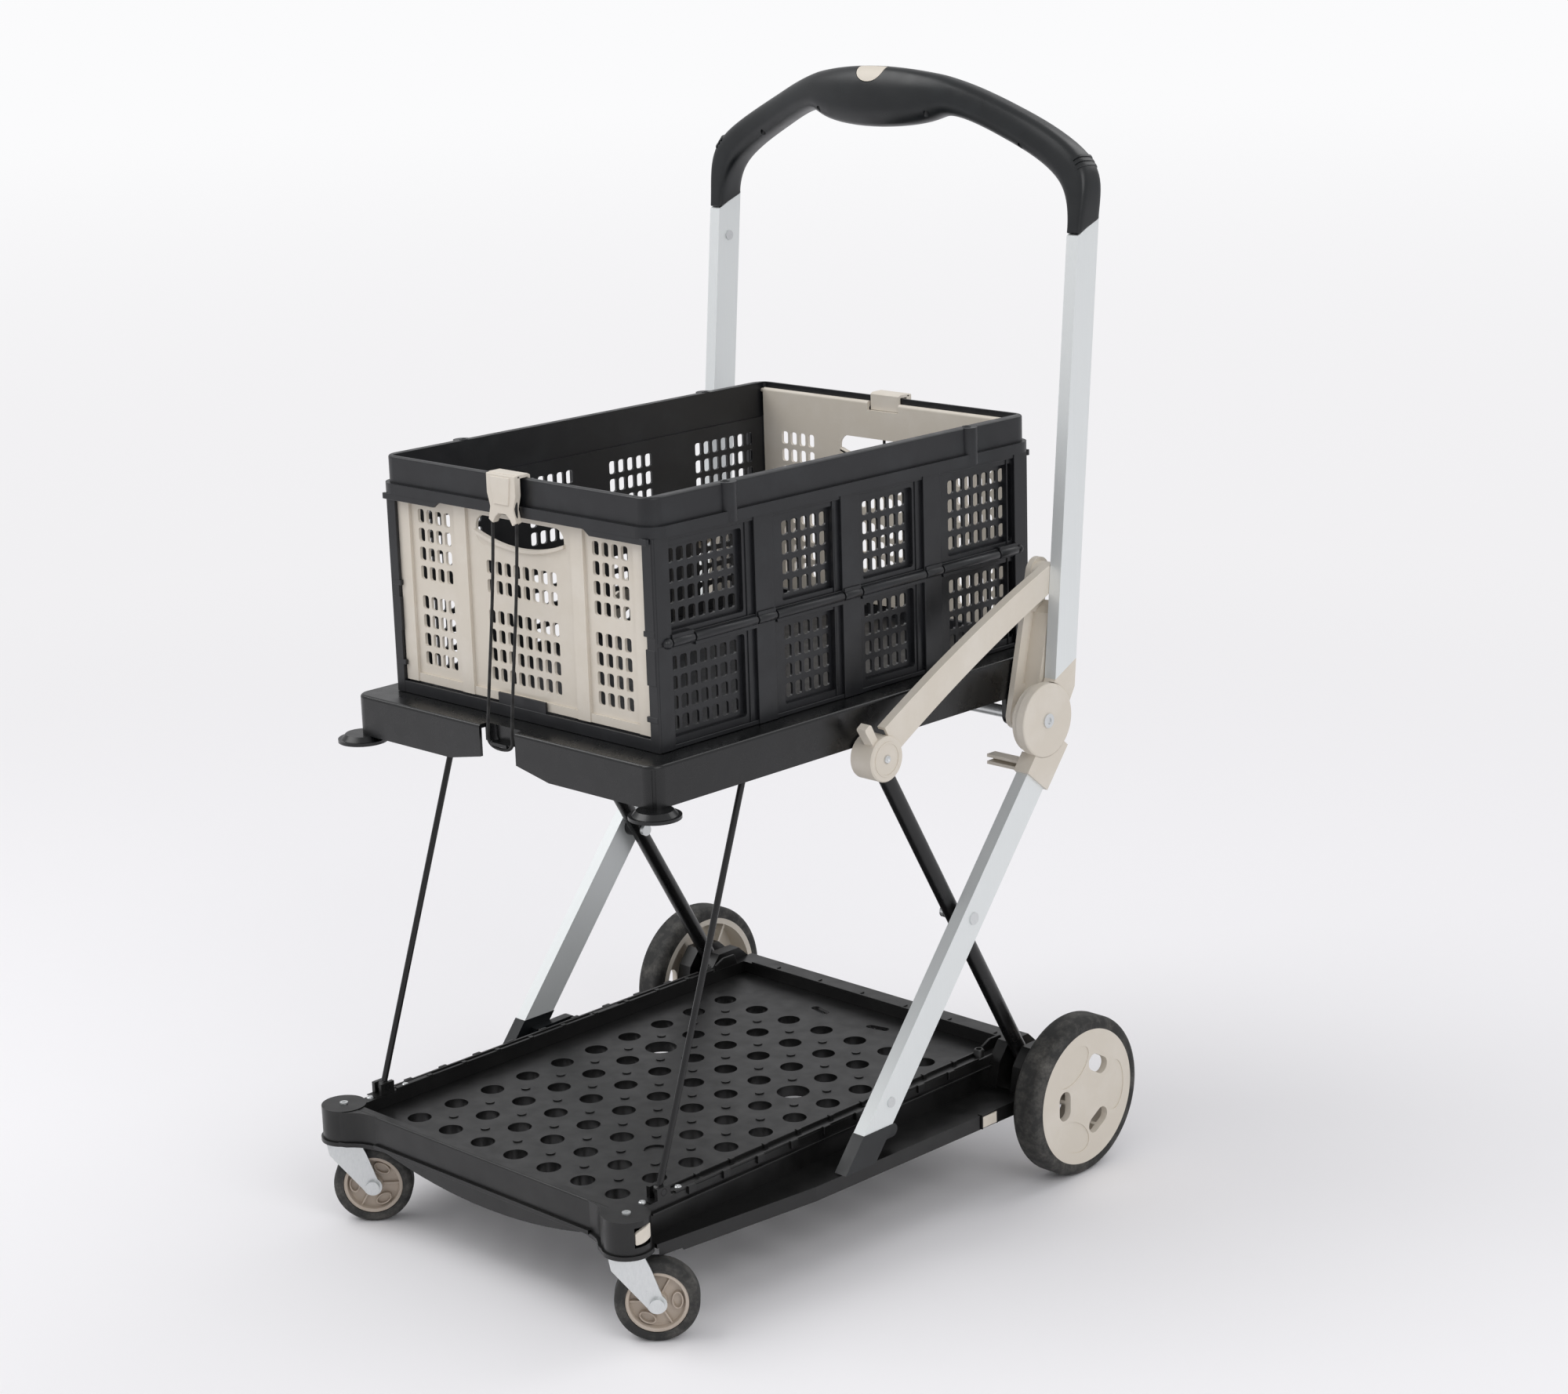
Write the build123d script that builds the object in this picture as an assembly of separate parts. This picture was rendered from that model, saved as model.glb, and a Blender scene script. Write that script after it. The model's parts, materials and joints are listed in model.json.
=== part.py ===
# Folding two-tier platform cart with a folding crate on its upper tray.
# Millimetres, +Z up, floor at z = 0. The front (casters) faces -Y, the handle stands at +Y.
# Heights are above the floor. Lengths along Y are first measured from the middle of the deck's
# hole pattern, and every node is moved by SHIFT_Y at the end, which centres the cart on its origin.
from build123d import *
import math
import os

SHIFT_Y = -47.75

# Lower base: deck, rim, skirts
DECK_HALF = 183.0          # half width of the deck inside its rim
DECK_FRONT = -243.0
DECK_REAR = 281.0
DECK_TOP = 106.0
DECK_THICK = 3.0
RIM_SIDE = 13.0            # rim thickness on the long sides
RIM_FRONT = 9.0
RIM_REAR = 25.0
RIM_TOP = 118.0
WALL_BOTTOM = 90.0
LEDGE_WIDTH = 9.0          # ledge that the deck panel lies on
LEDGE_HEIGHT = 6.0
BELLY_BOTTOM = 68.0
BELLY_THICK = 4.0
BELLY_HALF = 172.0

# Deck pattern
PITCH = 46.0
COLUMNS = 7
ROWS = 10
HOLE_DIA = 23.0
BIG_HOLE_DIA = 32.0
BIG_HOLES = [(1, 6), (5, 6)]
BLIND_HOLE = (5, 2)
COLLAR_WALL = 1.8
COLLAR_DEPTH = 8.0
BUMP_DIA = 9.0
BUMP_HEIGHT = 1.0
REAR_SLOT = (26.0, 9.0)
REAR_SLOT_X = 40.0
REAR_SLOT_Y = 248.0

# Side aprons that the leg feet stand on
APRON_TOP = 88.0
APRON_THICK = 5.0
APRON_BOTTOM = 74.0
APRON_LIP = 3.0
APRON_FRONT = (214.0, -232.0)
APRON_MIDDLE = (236.0, -52.0)
APRON_REAR = (244.0, 240.0)
APRON_WALL = 8.0
SIDE_BUTTON_Y = 183.0
SCREW_RADIUS = 2.5
SCREW_HEAD = 4.0

# Caster turrets and casters
TURRET_X = 196.7
TURRET_Y = -251.0
TURRET_RADIUS = 21.5
TURRET_TOP = 119.0
TURRET_BOTTOM = 84.0
FLANGE_RADIUS = 23.5
FLANGE_HEIGHT = 4.0
CASTER_DIA = 76.0
CASTER_WIDTH = 22.0
CASTER_HUB_DIA = 57.0
CASTER_TRAIL = 24.0
CASTER_SWIVEL = 45.0       # swivel angle in the photographed pose, degrees
STEM_RADIUS = 5.0
STEM_LENGTH = 24.0
FORK_SHEET = 2.0
FORK_GAP = 1.5
CROWN_RADIUS = 19.0
CROWN_THICK = 3.0
CASTER_BOLT_RADIUS = 4.0
CASTER_BOLT_HEAD = 6.5

# Rear wheels
AXLE_Y = 290.0
WHEEL_DIA = 160.0
WHEEL_INNER = 247.0
WHEEL_OUTER = 277.5
WHEEL_HUB_DIA = 136.0
AXLE_RADIUS = 6.0
HUB_BOSS_RADIUS = 15.0
HUB_WEB = 7.0
HUB_RIM = 6.0
HUB_HOLE = (30.0, 17.0)
HUB_HOLE_CIRCLE = 34.0
HUB_RECESS = (52.0, 30.0)
HUB_RECESS_CIRCLE = 42.0
HUB_RECESS_DEPTH = 0.8

# Scissor frame: places of the pivots as (y, z), and the layers across the cart
LEG_PIVOT = (271.0, 105.0)
CROSS_PIVOT = (166.5, 288.8)
KNUCKLE = (274.5, 459.0)
DRUM = (63.5, 466.0)
STAY_TIP = (305.0, 592.0)
INNER_LEG_X = 216.0
INNER_LEG_RADIUS = 8.0
INNER_LEG_WALL = 1.5
OUTER_LEG_X = 228.0
OUTER_LEG_THICK = 13.2
OUTER_LEG_DEPTH = 30.5
OUTER_LEG_LEAN = 39.35     # degrees from upright
OUTER_LEG_TOP = 414.0
LEG_WALL = 1.6
CAP_TOP = 119.5
FOOT_GAP = 0.4
PIN_RADIUS = 4.0
SHOE_RADIUS = 6.5          # round end of the slide shoe beside each foot
GUSSET_TOP = 130.0
GUSSET_OUTER = 241.0

# Knuckle layers and handle hinge
KNUCKLE_RADIUS = 36.0
KNUCKLE_FACE = 245.0
KNUCKLE_DISC = 9.6
COLLAR_DEPTH_LEG = 37.0
COLLAR_PROUD = 1.6
EYE_RADIUS = 33.0
EYE_THICK = 6.4
SHAFT_RADIUS = 6.0
CATCH_REACH = 48.0
CATCH_SIZE = 12.0
LEVER_X = 204.0
LEVER_THICK = 6.0
LEVER_WIDTH = 28.0
LEVER_RIB = 12.0           # width of the box rib along the lever's rear edge
LEVER_HUB_RADIUS = 13.0

# Handle
TUBE_LEAN = 5.13           # degrees, leaning back
TUBE_FOOT = (305.4, 495.4)
TUBE_DEPTH = 30.0
TUBE_WALL = 1.6
TUBE_SLANT = 15.0          # the rear edge of each tube end stands this much higher
TUBE_TOP = 912.0
GRIP_TOP = 1063.0
GRIP_SHOULDER = 250.0
GRIP_DEPTH = 31.0
GRIP_BELLY = 89.0          # underside of the middle, above the tops of the tubes
GRIP_BOW = 36.0            # the middle of the grip stands this much forward
BUTTON_WIDTH = 42.0
BUTTON_DROP = 22.0         # the button's tongue reaches this far down the front of the grip
BUTTON_DEPTH = 14.0
PRESS = 3.0                # travel of every push button
PRESS_ROOM = 1.0           # room left behind a pressed button
CASTER_ROOM = 52.0         # radius kept clear under each turret for the swinging wheel

# Stays and rods
DRUM_RADIUS = 21.5
DRUM_WALL = 3.2
DRUM_FACE = 229.8
DRUM_INNER = 203.6
STAY_WEB = 3.2
STAY_FLANGE = 3.0
STAY_OUTER = 227.6
STAY_DEPTH = 25.0
STAY_RISE = 12.0           # the arm leaves the drum this far above its axis
STAY_BOW = 8.5
ROLLER_GAP = 2.0
ROD_X = 191.5
ROD_RADIUS = 3.0
ROD_FOOT = (-206.6, 124.5)
ROD_TIP = (-80.5, 486.0)
ROD_EYE_RADIUS = 5.5

# Upper tray
TRAY_HALF = 202.0
TRAY_FRONT = -202.0
TRAY_REAR = 342.0
TRAY_BOTTOM = 475.5
TRAY_TOP = 514.0
TRAY_WALL = 3.0
TRAY_FLOOR = 4.0
TRAY_CORNER = 14.0
NOTCH_HALF = 24.0
NOTCH_SLOPE = 72.0
NOTCH_STEP = 484.0
NOTCH_EDGE = 497.0
NOTCH_DEPTH = 10.0
TRAY_FOOT_X = 198.0
TRAY_FOOT_Y = -198.0
TRAY_FOOT_RADIUS = 23.5
TRAY_FOOT_BOTTOM = 468.0
EAR_RADIUS = 11.0
EAR_THICK = 5.0

# Folding crate
CRATE_HALF = 178.0
CRATE_FRONT = -171.0
CRATE_REAR = 330.0
CRATE_TOP = 739.0
RIM_LOW = 704.0
RIM_WALL = 9.0
RIM_END_WALL = 4.5
RIM_INNER_CORNER = 3.0
BOSS_PLACES = (-75.7, 245.0)
RIM_FLANGE = 4.0
RIM_FLANGE_TOP = 714.0
RIM_CORNER = 15.0
SIDE_FACE = 174.0
SIDE_THICK = 7.0
SIDE_SKIN = 2.5
CRATE_SPLIT = 610.0
CRATE_GAP = 1.5
SPLIT_GAP = 0.6
END_LOW = 527.0
END_THICK = 6.0
END_SKIN = 3.0
END_DROP = 5.0             # the tops of the end panels lie this far below the rim's top
END_PIN_RADIUS = 2.0
END_PIN_LENGTH = 3.5
MESH_HOLE = (8.6, 13.0)
MESH_PITCH = (12.2, 17.8)
HINGE_PIN_RADIUS = 3.0
HAND_HOLE = (118.0, 27.0)
WINDOWS = [(7, 0.125), (5, 0.39), (5, 0.605), (7, 0.87)]   # columns of holes, place along a side

# Straps
CLIP_HALF = 19.0
CLIP_SHEET = 3.0
CLIP_HOOK = 8.0            # the clip's hook reaches this far down inside the rim
CORD_RADIUS = 1.5
CORD_HALF = 16.0
CORD_LIP = CORD_HALF - 5.0

FIT = 0.06                 # clearance between pieces fixed to each other
SEAT = 0.3                 # clearance between pieces that move on each other


def box(x0, x1, y0, y1, z0, z1):
    return Pos((x0 + x1) / 2, (y0 + y1) / 2, (z0 + z1) / 2) * Box(x1 - x0, y1 - y0, z1 - z0)


def rod_x(radius, x0, x1, place):
    return Pos((x0 + x1) / 2, place[0], place[1]) * Rot(0, 90, 0) * Cylinder(radius, x1 - x0)


def rod_y(radius, y0, y1, x, z):
    return Pos(x, (y0 + y1) / 2, z) * Rot(90, 0, 0) * Cylinder(radius, y1 - y0)


def rod_z(radius, x, y, z0, z1):
    return Pos(x, y, (z0 + z1) / 2) * Cylinder(radius, z1 - z0)


def plate_x(outline, x0, x1):
    """A plate between two x values from a closed outline of (y, z) points or a face."""
    face = Polygon(*outline, align=None) if isinstance(outline, list) else outline
    return extrude(Plane.YZ.offset(x0) * face, amount=x1 - x0, dir=(1, 0, 0))


def plate_y(outline, y0, y1):
    """A plate between two y values from a closed outline of (x, z) points or a face."""
    face = Polygon(*outline, align=None) if isinstance(outline, list) else outline
    return extrude(Plane.XZ.offset(-y0) * face, amount=y1 - y0, dir=(0, 1, 0))


def plate_z(outline, z0, z1):
    face = Polygon(*outline, align=None) if isinstance(outline, list) else outline
    return extrude(Plane.XY.offset(z0) * face, amount=z1 - z0, dir=(0, 0, 1))


def pierced(sheet, holes):
    """A flat sheet with holes that lie apart inside it."""
    return Face(sheet.face().outer_wire(), [hole.face().outer_wire() for hole in holes])


def along(place, lean, distance, aside=0.0):
    """The point at a distance up a line that leans back from upright, and aside to its rear."""
    s = math.sin(math.radians(lean))
    c = math.cos(math.radians(lean))
    return (place[0] + distance * s + aside * c, place[1] + distance * c - aside * s)


def bar(start, end, width):
    """Outline of a straight bar between two (y, z) places."""
    dy, dz = end[0] - start[0], end[1] - start[1]
    length = math.hypot(dy, dz)
    ny, nz = -dz / length * width / 2, dy / length * width / 2
    return [(start[0] + ny, start[1] + nz), (start[0] - ny, start[1] - nz),
            (end[0] - ny, end[1] - nz), (end[0] + ny, end[1] + nz)]


def other_side(part):
    return mirror(part, about=Plane.YZ)


def on_leg(z, aside=0.0):
    """A place on the outer leg's axis line at a height, or on a line beside it."""
    lean = math.radians(OUTER_LEG_LEAN)
    rise = z - CROSS_PIVOT[1]
    return (CROSS_PIVOT[0] + rise * math.tan(lean) + aside / math.cos(lean), z)


def on_tube(z, aside=0.0):
    lean = math.radians(TUBE_LEAN)
    return (TUBE_FOOT[0] + (z - TUBE_FOOT[1]) * math.tan(lean) + aside / math.cos(lean), z)


RIM_X = DECK_HALF + RIM_SIDE
WALL_FRONT = DECK_FRONT - RIM_FRONT
WALL_REAR = DECK_REAR + RIM_REAR
OUTER_FACE = OUTER_LEG_X + OUTER_LEG_THICK
FOOT_PIVOT = (2 * CROSS_PIVOT[0] - LEG_PIVOT[0], LEG_PIVOT[1])
LEG_INNER = INNER_LEG_X - INNER_LEG_RADIUS
LEG_OUTER = INNER_LEG_X + INNER_LEG_RADIUS
AXLE = (AXLE_Y, WHEEL_DIA / 2)
BUTTON_X = TURRET_X + TURRET_RADIUS
END_HALF = SIDE_FACE - SIDE_THICK - CRATE_GAP
END_BACK = RIM_END_WALL + SEAT
END_PIVOT_Y = CRATE_FRONT + END_BACK + END_THICK / 2
END_PIVOT_Z = CRATE_TOP - END_DROP - END_THICK / 2


# Lower base

def apron():
    """Side shelf with a lip that hangs from its outer edge."""
    outer = [APRON_FRONT, APRON_MIDDLE, APRON_REAR]
    inner_x = RIM_X - APRON_WALL
    outline = [(inner_x, outer[0][1])] + outer + [(inner_x, outer[-1][1])]
    shelf = plate_z(outline, APRON_TOP - APRON_THICK, APRON_TOP)
    hollow = [(inner_x - 1, outer[0][1] - 1)]
    hollow += [(x - APRON_LIP, y) for x, y in outer]
    hollow += [(outer[-1][0] - APRON_LIP, outer[-1][1] + 1), (inner_x - 1, outer[-1][1] + 1)]
    lip = plate_z(outline, APRON_BOTTOM, APRON_TOP) - plate_z(hollow, APRON_BOTTOM - 1, APRON_TOP + 1)
    wall = box(inner_x, RIM_X, APRON_FRONT[1], WALL_REAR, APRON_BOTTOM, RIM_TOP - 1)
    return shelf + lip + wall


def gusset():
    """Two cheeks that carry the inner leg's pivot, and the housing of the rear axle."""
    py, pz = LEG_PIVOT
    outline = [(py - 36, APRON_TOP - 4), (py - 30, pz + 8), (py - 16, GUSSET_TOP), (py + 14, GUSSET_TOP),
               (WALL_REAR, pz + 6), (WALL_REAR + 4, AXLE[1] - 6), (AXLE[0] + 4, AXLE[1] - 18),
               (AXLE[0] - 16, AXLE[1] - 18), (py - 36, APRON_BOTTOM)]
    inner_cheek = plate_x(outline, RIM_X - 2, LEG_INNER - SEAT)
    outer_cheek = plate_x(outline, LEG_OUTER + SEAT, GUSSET_OUTER)
    back = box(RIM_X - 2, GUSSET_OUTER, py + 17, WALL_REAR, AXLE[1] - 10, pz)
    housing = rod_x(16, RIM_X - APRON_WALL, WHEEL_INNER - 1.2, AXLE)
    return inner_cheek + outer_cheek + back + housing


def turret_button(grow=0.0, behind=0.0):
    """The turret's button, or its pocket when grown by a clearance."""
    return box(BUTTON_X - 5 - behind, BUTTON_X + 1.2, TURRET_Y - 9 - grow, TURRET_Y + 9 + grow,
               TURRET_TOP - 24 - grow, TURRET_TOP - 6 + grow)


def apron_x(y):
    """Outer edge of the apron at a place along the rear run of its edge."""
    (x0, y0), (x1, y1) = APRON_MIDDLE, APRON_REAR
    return x0 + (x1 - x0) * (y - y0) / (y1 - y0)


def side_button(grow=0.0, behind=0.0):
    x = apron_x(SIDE_BUTTON_Y)
    return box(x - 7 - behind, x + 1.4, SIDE_BUTTON_Y - 10 - grow, SIDE_BUTTON_Y + 10 + grow,
               APRON_BOTTOM + 1.5 - grow, APRON_TOP - 1.5 + grow)


def base_frame():
    rim = box(-RIM_X, RIM_X, WALL_FRONT, WALL_REAR, WALL_BOTTOM, RIM_TOP)
    rim = fillet(rim.edges().group_by(Axis.Z)[-1], 2.0)
    rim -= box(-DECK_HALF, DECK_HALF, DECK_FRONT, DECK_REAR, WALL_BOTTOM - 1, RIM_TOP + 1)
    ledge_top = DECK_TOP - DECK_THICK
    ledge = box(-DECK_HALF, DECK_HALF, DECK_FRONT, DECK_REAR, ledge_top - LEDGE_HEIGHT, ledge_top)
    ledge -= box(-DECK_HALF + LEDGE_WIDTH, DECK_HALF - LEDGE_WIDTH, DECK_FRONT + LEDGE_WIDTH,
                 DECK_REAR - LEDGE_WIDTH, ledge_top - LEDGE_HEIGHT - 1, ledge_top + 1)
    chord = Line((BELLY_HALF, WALL_BOTTOM + 2), (-BELLY_HALF, WALL_BOTTOM + 2))
    curve = ThreePointArc((-BELLY_HALF, WALL_BOTTOM + 2), (0, BELLY_BOTTOM), (BELLY_HALF, WALL_BOTTOM + 2))
    belly = plate_y(make_face(chord + curve), WALL_FRONT + 2, WALL_FRONT + 2 + BELLY_THICK)
    frame = rim + ledge + belly
    for side in (1, -1):
        half = apron() + gusset()
        half += rod_z(TURRET_RADIUS, TURRET_X, TURRET_Y, TURRET_BOTTOM, TURRET_TOP)
        half += rod_z(FLANGE_RADIUS, TURRET_X, TURRET_Y, TURRET_BOTTOM, TURRET_BOTTOM + FLANGE_HEIGHT)
        frame += half if side > 0 else other_side(half)
    cuts = []
    for side in (1, -1):
        cut = [
            rod_z(CASTER_ROOM, TURRET_X, TURRET_Y, 0, CASTER_DIA + SEAT),
            rod_z(FLANGE_RADIUS + 4, TURRET_X, TURRET_Y, 0, TURRET_BOTTOM),
            rod_z(STEM_RADIUS + SEAT, TURRET_X, TURRET_Y, TURRET_BOTTOM - 1, TURRET_BOTTOM + STEM_LENGTH + 1),
            rod_z(SCREW_RADIUS + SEAT, TURRET_X, TURRET_Y, TURRET_TOP - 6, TURRET_TOP + 1),
            turret_button(SEAT, PRESS + PRESS_ROOM),
            side_button(SEAT, PRESS + PRESS_ROOM),
            rod_x(PIN_RADIUS + FIT, RIM_X - 3, GUSSET_OUTER + 1, LEG_PIVOT),
        ]
        cuts += cut if side > 0 else [other_side(c) for c in cut]
    cuts.append(rod_x(AXLE_RADIUS + FIT, -WHEEL_OUTER, WHEEL_OUTER, AXLE))
    return frame - cuts


def lattice(column, row):
    return ((column - (COLUMNS - 1) / 2) * PITCH, (row - (ROWS - 1) / 2) * PITCH)


def deck_panel():
    width = 2 * (DECK_HALF - SEAT)
    length = DECK_REAR - DECK_FRONT - 2 * SEAT
    middle = (DECK_FRONT + DECK_REAR) / 2
    spots = [(c, r) for c in range(COLUMNS) for r in range(ROWS)]
    radius = {spot: (BIG_HOLE_DIA if spot in BIG_HOLES else HOLE_DIA) / 2 for spot in spots}
    open_spots = [spot for spot in spots if spot != BLIND_HOLE]
    sheet = Pos(0, middle) * Rectangle(width, length)
    holes = [Pos(*lattice(*spot)) * Circle(radius[spot]) for spot in open_spots]
    holes += [Pos(side * REAR_SLOT_X, REAR_SLOT_Y) * Rot(0, 0, side * 12) * SlotOverall(*REAR_SLOT)
              for side in (1, -1)]
    panel = plate_z(pierced(sheet, holes), DECK_TOP - DECK_THICK, DECK_TOP)
    collars = [Pos(*lattice(*spot)) * (Circle(radius[spot] + COLLAR_WALL) - Circle(radius[spot]))
               for spot in open_spots]
    low = DECK_TOP - DECK_THICK - COLLAR_DEPTH
    panel += [plate_z(collar, low, DECK_TOP - DECK_THICK) for collar in collars]
    bumps = [Pos((c - (COLUMNS - 2) / 2) * PITCH, (r - (ROWS - 2) / 2) * PITCH) * Circle(BUMP_DIA / 2)
             for c in range(COLUMNS - 1) for r in range(ROWS - 1)]
    panel += [plate_z(bump, DECK_TOP, DECK_TOP + BUMP_HEIGHT) for bump in bumps]
    x, y = lattice(*BLIND_HOLE)
    panel -= rod_z(HOLE_DIA / 2, x, y, DECK_TOP - DECK_THICK / 2, DECK_TOP + 1)
    corner = TURRET_RADIUS + SEAT
    return panel - [rod_z(corner, side * TURRET_X, TURRET_Y, 0, TURRET_TOP) for side in (1, -1)]


def rod_clips():
    clips = []
    for side in (1, -1):
        y, z = ROD_FOOT
        cheek = ROD_EYE_RADIUS / 2 + SEAT
        clip = box(ROD_X - 7, ROD_X + 7, y - 15, y + 11, RIM_TOP, z - ROD_EYE_RADIUS - SEAT)
        clip += box(ROD_X - 7, ROD_X - cheek, y - 8, y + 8, RIM_TOP, z + 5)
        clip += box(ROD_X + cheek, ROD_X + 7, y - 8, y + 8, RIM_TOP, z + 5)
        clip -= rod_x(ROD_RADIUS + SEAT, ROD_X - 8, ROD_X + 8, ROD_FOOT)
        clips.append(clip if side > 0 else other_side(clip))
    return Compound(children=clips)


def screw(x, y, z, length=5.0):
    head = rod_z(SCREW_HEAD, x, y, z, z + 1.4)
    slot = box(x - 2.2, x + 2.2, y - 0.5, y + 0.5, z + 0.8, z + 2)
    cross = box(x - 0.5, x + 0.5, y - 2.2, y + 2.2, z + 0.8, z + 2)
    return head + rod_z(SCREW_RADIUS, x, y, z - length, z) - slot - cross


def base_screws():
    return Compound(children=[screw(side * TURRET_X, TURRET_Y, TURRET_TOP + FIT) for side in (1, -1)])


def rear_axle():
    return rod_x(AXLE_RADIUS, -WHEEL_OUTER + 6, WHEEL_OUTER - 6, AXLE)


# Casters, made with the swivel axis on Z and the trail along X, then turned and placed

def place_caster(part, side):
    return Pos(side * TURRET_X, TURRET_Y, 0) * Rot(0, 0, CASTER_SWIVEL) * part


def caster_fork():
    top = TURRET_BOTTOM - SEAT
    inner = CASTER_WIDTH / 2 + FORK_GAP
    axle = (CASTER_TRAIL, CASTER_DIA / 2)
    crown = rod_z(CROWN_RADIUS, 0, 0, top - CROWN_THICK, top)
    cheek = Polygon((axle[0] - 8.6, axle[1] - 3), (-15, top - 12), (-17, top - 1), (15, top - 1),
                    (20, top - 12), (axle[0] + 8.6, axle[1] - 3), align=None)
    cheek += Pos(*axle) * Circle(9.0)
    fork = crown + rod_z(STEM_RADIUS, 0, 0, top - 1, TURRET_BOTTOM + STEM_LENGTH)
    for y0 in (-inner - FORK_SHEET, inner):
        fork += plate_y(cheek, y0, y0 + FORK_SHEET)
    fork -= rod_y(CASTER_BOLT_RADIUS + FIT, -50, 50, *axle)
    return fork


def caster_bolt():
    half = CASTER_WIDTH / 2 + FORK_GAP + FORK_SHEET
    axle = (CASTER_TRAIL, CASTER_DIA / 2)
    bolt = rod_y(CASTER_BOLT_RADIUS, -half - 1, half + 1, *axle)
    bolt += rod_y(CASTER_BOLT_HEAD, half, half + 4, *axle)
    return bolt + rod_y(CASTER_BOLT_HEAD, -half - 4, -half, *axle)


def caster_hub():
    axle = (CASTER_TRAIL, CASTER_DIA / 2)
    half = CASTER_WIDTH / 2 - 1
    radius = CASTER_HUB_DIA / 2
    hub = rod_y(radius, -half, half, *axle)
    for face in (-1, 1):
        y0, y1 = sorted((face * 3.0, face * (half + 1)))
        dish = rod_y(radius - 4, y0, y1, *axle) - rod_y(9, y0, y1, *axle)
        ribs = [Pos(axle[0], 0, axle[1]) * Rot(0, turn, 0) * box(-1.2, 1.2, y0 - 1, y1 + 1, 8, radius)
                for turn in range(0, 360, 60)]
        hub -= dish - ribs
    return hub - rod_y(CASTER_BOLT_RADIUS + SEAT, -50, 50, *axle)


def caster_tyre():
    axle = (CASTER_TRAIL, CASTER_DIA / 2)
    half = CASTER_WIDTH / 2
    tyre = rod_y(CASTER_DIA / 2, -half, half, *axle)
    tyre = fillet(tyre.edges(), 5.0)
    return tyre - rod_y(CASTER_HUB_DIA / 2 + FIT, -50, 50, *axle)


# Rear wheels

def rear_hub():
    radius = WHEEL_HUB_DIA / 2
    web_in = WHEEL_OUTER - HUB_WEB
    hub = rod_x(radius, web_in, WHEEL_OUTER, AXLE)
    hub += rod_x(radius, WHEEL_INNER, WHEEL_OUTER, AXLE) - rod_x(radius - HUB_RIM, WHEEL_INNER - 1, web_in, AXLE)
    hub += rod_x(HUB_BOSS_RADIUS, WHEEL_INNER, WHEEL_OUTER, AXLE)
    spoke = box(WHEEL_INNER + 5, web_in + 1, -1.5, 1.5, HUB_BOSS_RADIUS - 1, radius - HUB_RIM + 1)
    hub += [Pos(0, *AXLE) * Rot(turn, 0, 0) * spoke for turn in range(30, 390, 60)]
    for k in range(3):
        hole = Pos(0, HUB_HOLE_CIRCLE) * SlotOverall(*HUB_HOLE)
        hole = plate_x(Rot(0, 0, 120 * k - 30) * hole, WHEEL_INNER - 1, WHEEL_OUTER + 1)
        hub -= Pos(0, *AXLE) * hole
        dish = Pos(0, HUB_RECESS_CIRCLE) * Ellipse(HUB_RECESS[0] / 2, HUB_RECESS[1] / 2)
        dish = plate_x(Rot(0, 0, 120 * k + 30) * dish, WHEEL_OUTER - HUB_RECESS_DEPTH, WHEEL_OUTER + 1)
        hub -= Pos(0, *AXLE) * dish
    return hub - rod_x(AXLE_RADIUS + SEAT, WHEEL_INNER - 1, WHEEL_OUTER - 5.5, AXLE)


def rear_tyre():
    tyre = rod_x(WHEEL_DIA / 2, WHEEL_INNER, WHEEL_OUTER, AXLE)
    tyre = fillet(tyre.edges(), 7.0)
    return tyre - rod_x(WHEEL_HUB_DIA / 2 + FIT, WHEEL_INNER - 1, WHEEL_OUTER + 1, AXLE)


# Scissor frame

def inner_leg():
    dy, dz = DRUM[0] - LEG_PIVOT[0], DRUM[1] - LEG_PIVOT[1]
    length = math.hypot(dy, dz)
    axis = Plane(origin=(INNER_LEG_X, *LEG_PIVOT), z_dir=(0, dy, dz), x_dir=(1, 0, 0))
    leg = extrude(axis * Circle(INNER_LEG_RADIUS), amount=length)
    eye = INNER_LEG_RADIUS - INNER_LEG_WALL / 2
    leg += rod_x(INNER_LEG_RADIUS + 2, INNER_LEG_X - eye, INNER_LEG_X + eye, LEG_PIVOT)
    leg += rod_x(INNER_LEG_RADIUS + 3, INNER_LEG_X - eye, INNER_LEG_X + eye, DRUM)
    # hollow above and below the crossing, where the tube stays solid around its rivet
    solid_end = 2 * INNER_LEG_RADIUS
    crossing = math.dist(LEG_PIVOT, CROSS_PIVOT)
    bore = Circle(INNER_LEG_RADIUS - INNER_LEG_WALL)
    leg -= extrude(axis.offset(solid_end) * bore, amount=crossing - 2 * solid_end)
    leg -= extrude(axis.offset(crossing + solid_end) * bore, amount=length - crossing - 2 * solid_end)
    # washer boss at the crossing, towards the outer leg
    leg += rod_x(INNER_LEG_RADIUS + 1, INNER_LEG_X, OUTER_LEG_X - SEAT, CROSS_PIVOT)
    leg -= rod_x(PIN_RADIUS + SEAT, LEG_INNER - 1, LEG_OUTER + 1, LEG_PIVOT)
    return leg - rod_x(PIN_RADIUS + SEAT, LEG_INNER - 3, OUTER_LEG_X + 1, CROSS_PIVOT)


def leg_rollers():
    """Roller pins at the tops of the inner legs, which carry the tray's lower edges."""
    radius = TRAY_BOTTOM - DRUM[1] - ROLLER_GAP
    rollers = []
    for side in (1, -1):
        roller = rod_x(PIN_RADIUS + 1, TRAY_HALF - 8, LEG_INNER - FIT, DRUM)
        roller += rod_x(radius, TRAY_HALF - 7, TRAY_HALF + 1, DRUM)
        rollers.append(roller if side > 0 else other_side(roller))
    return Compound(children=rollers)


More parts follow.
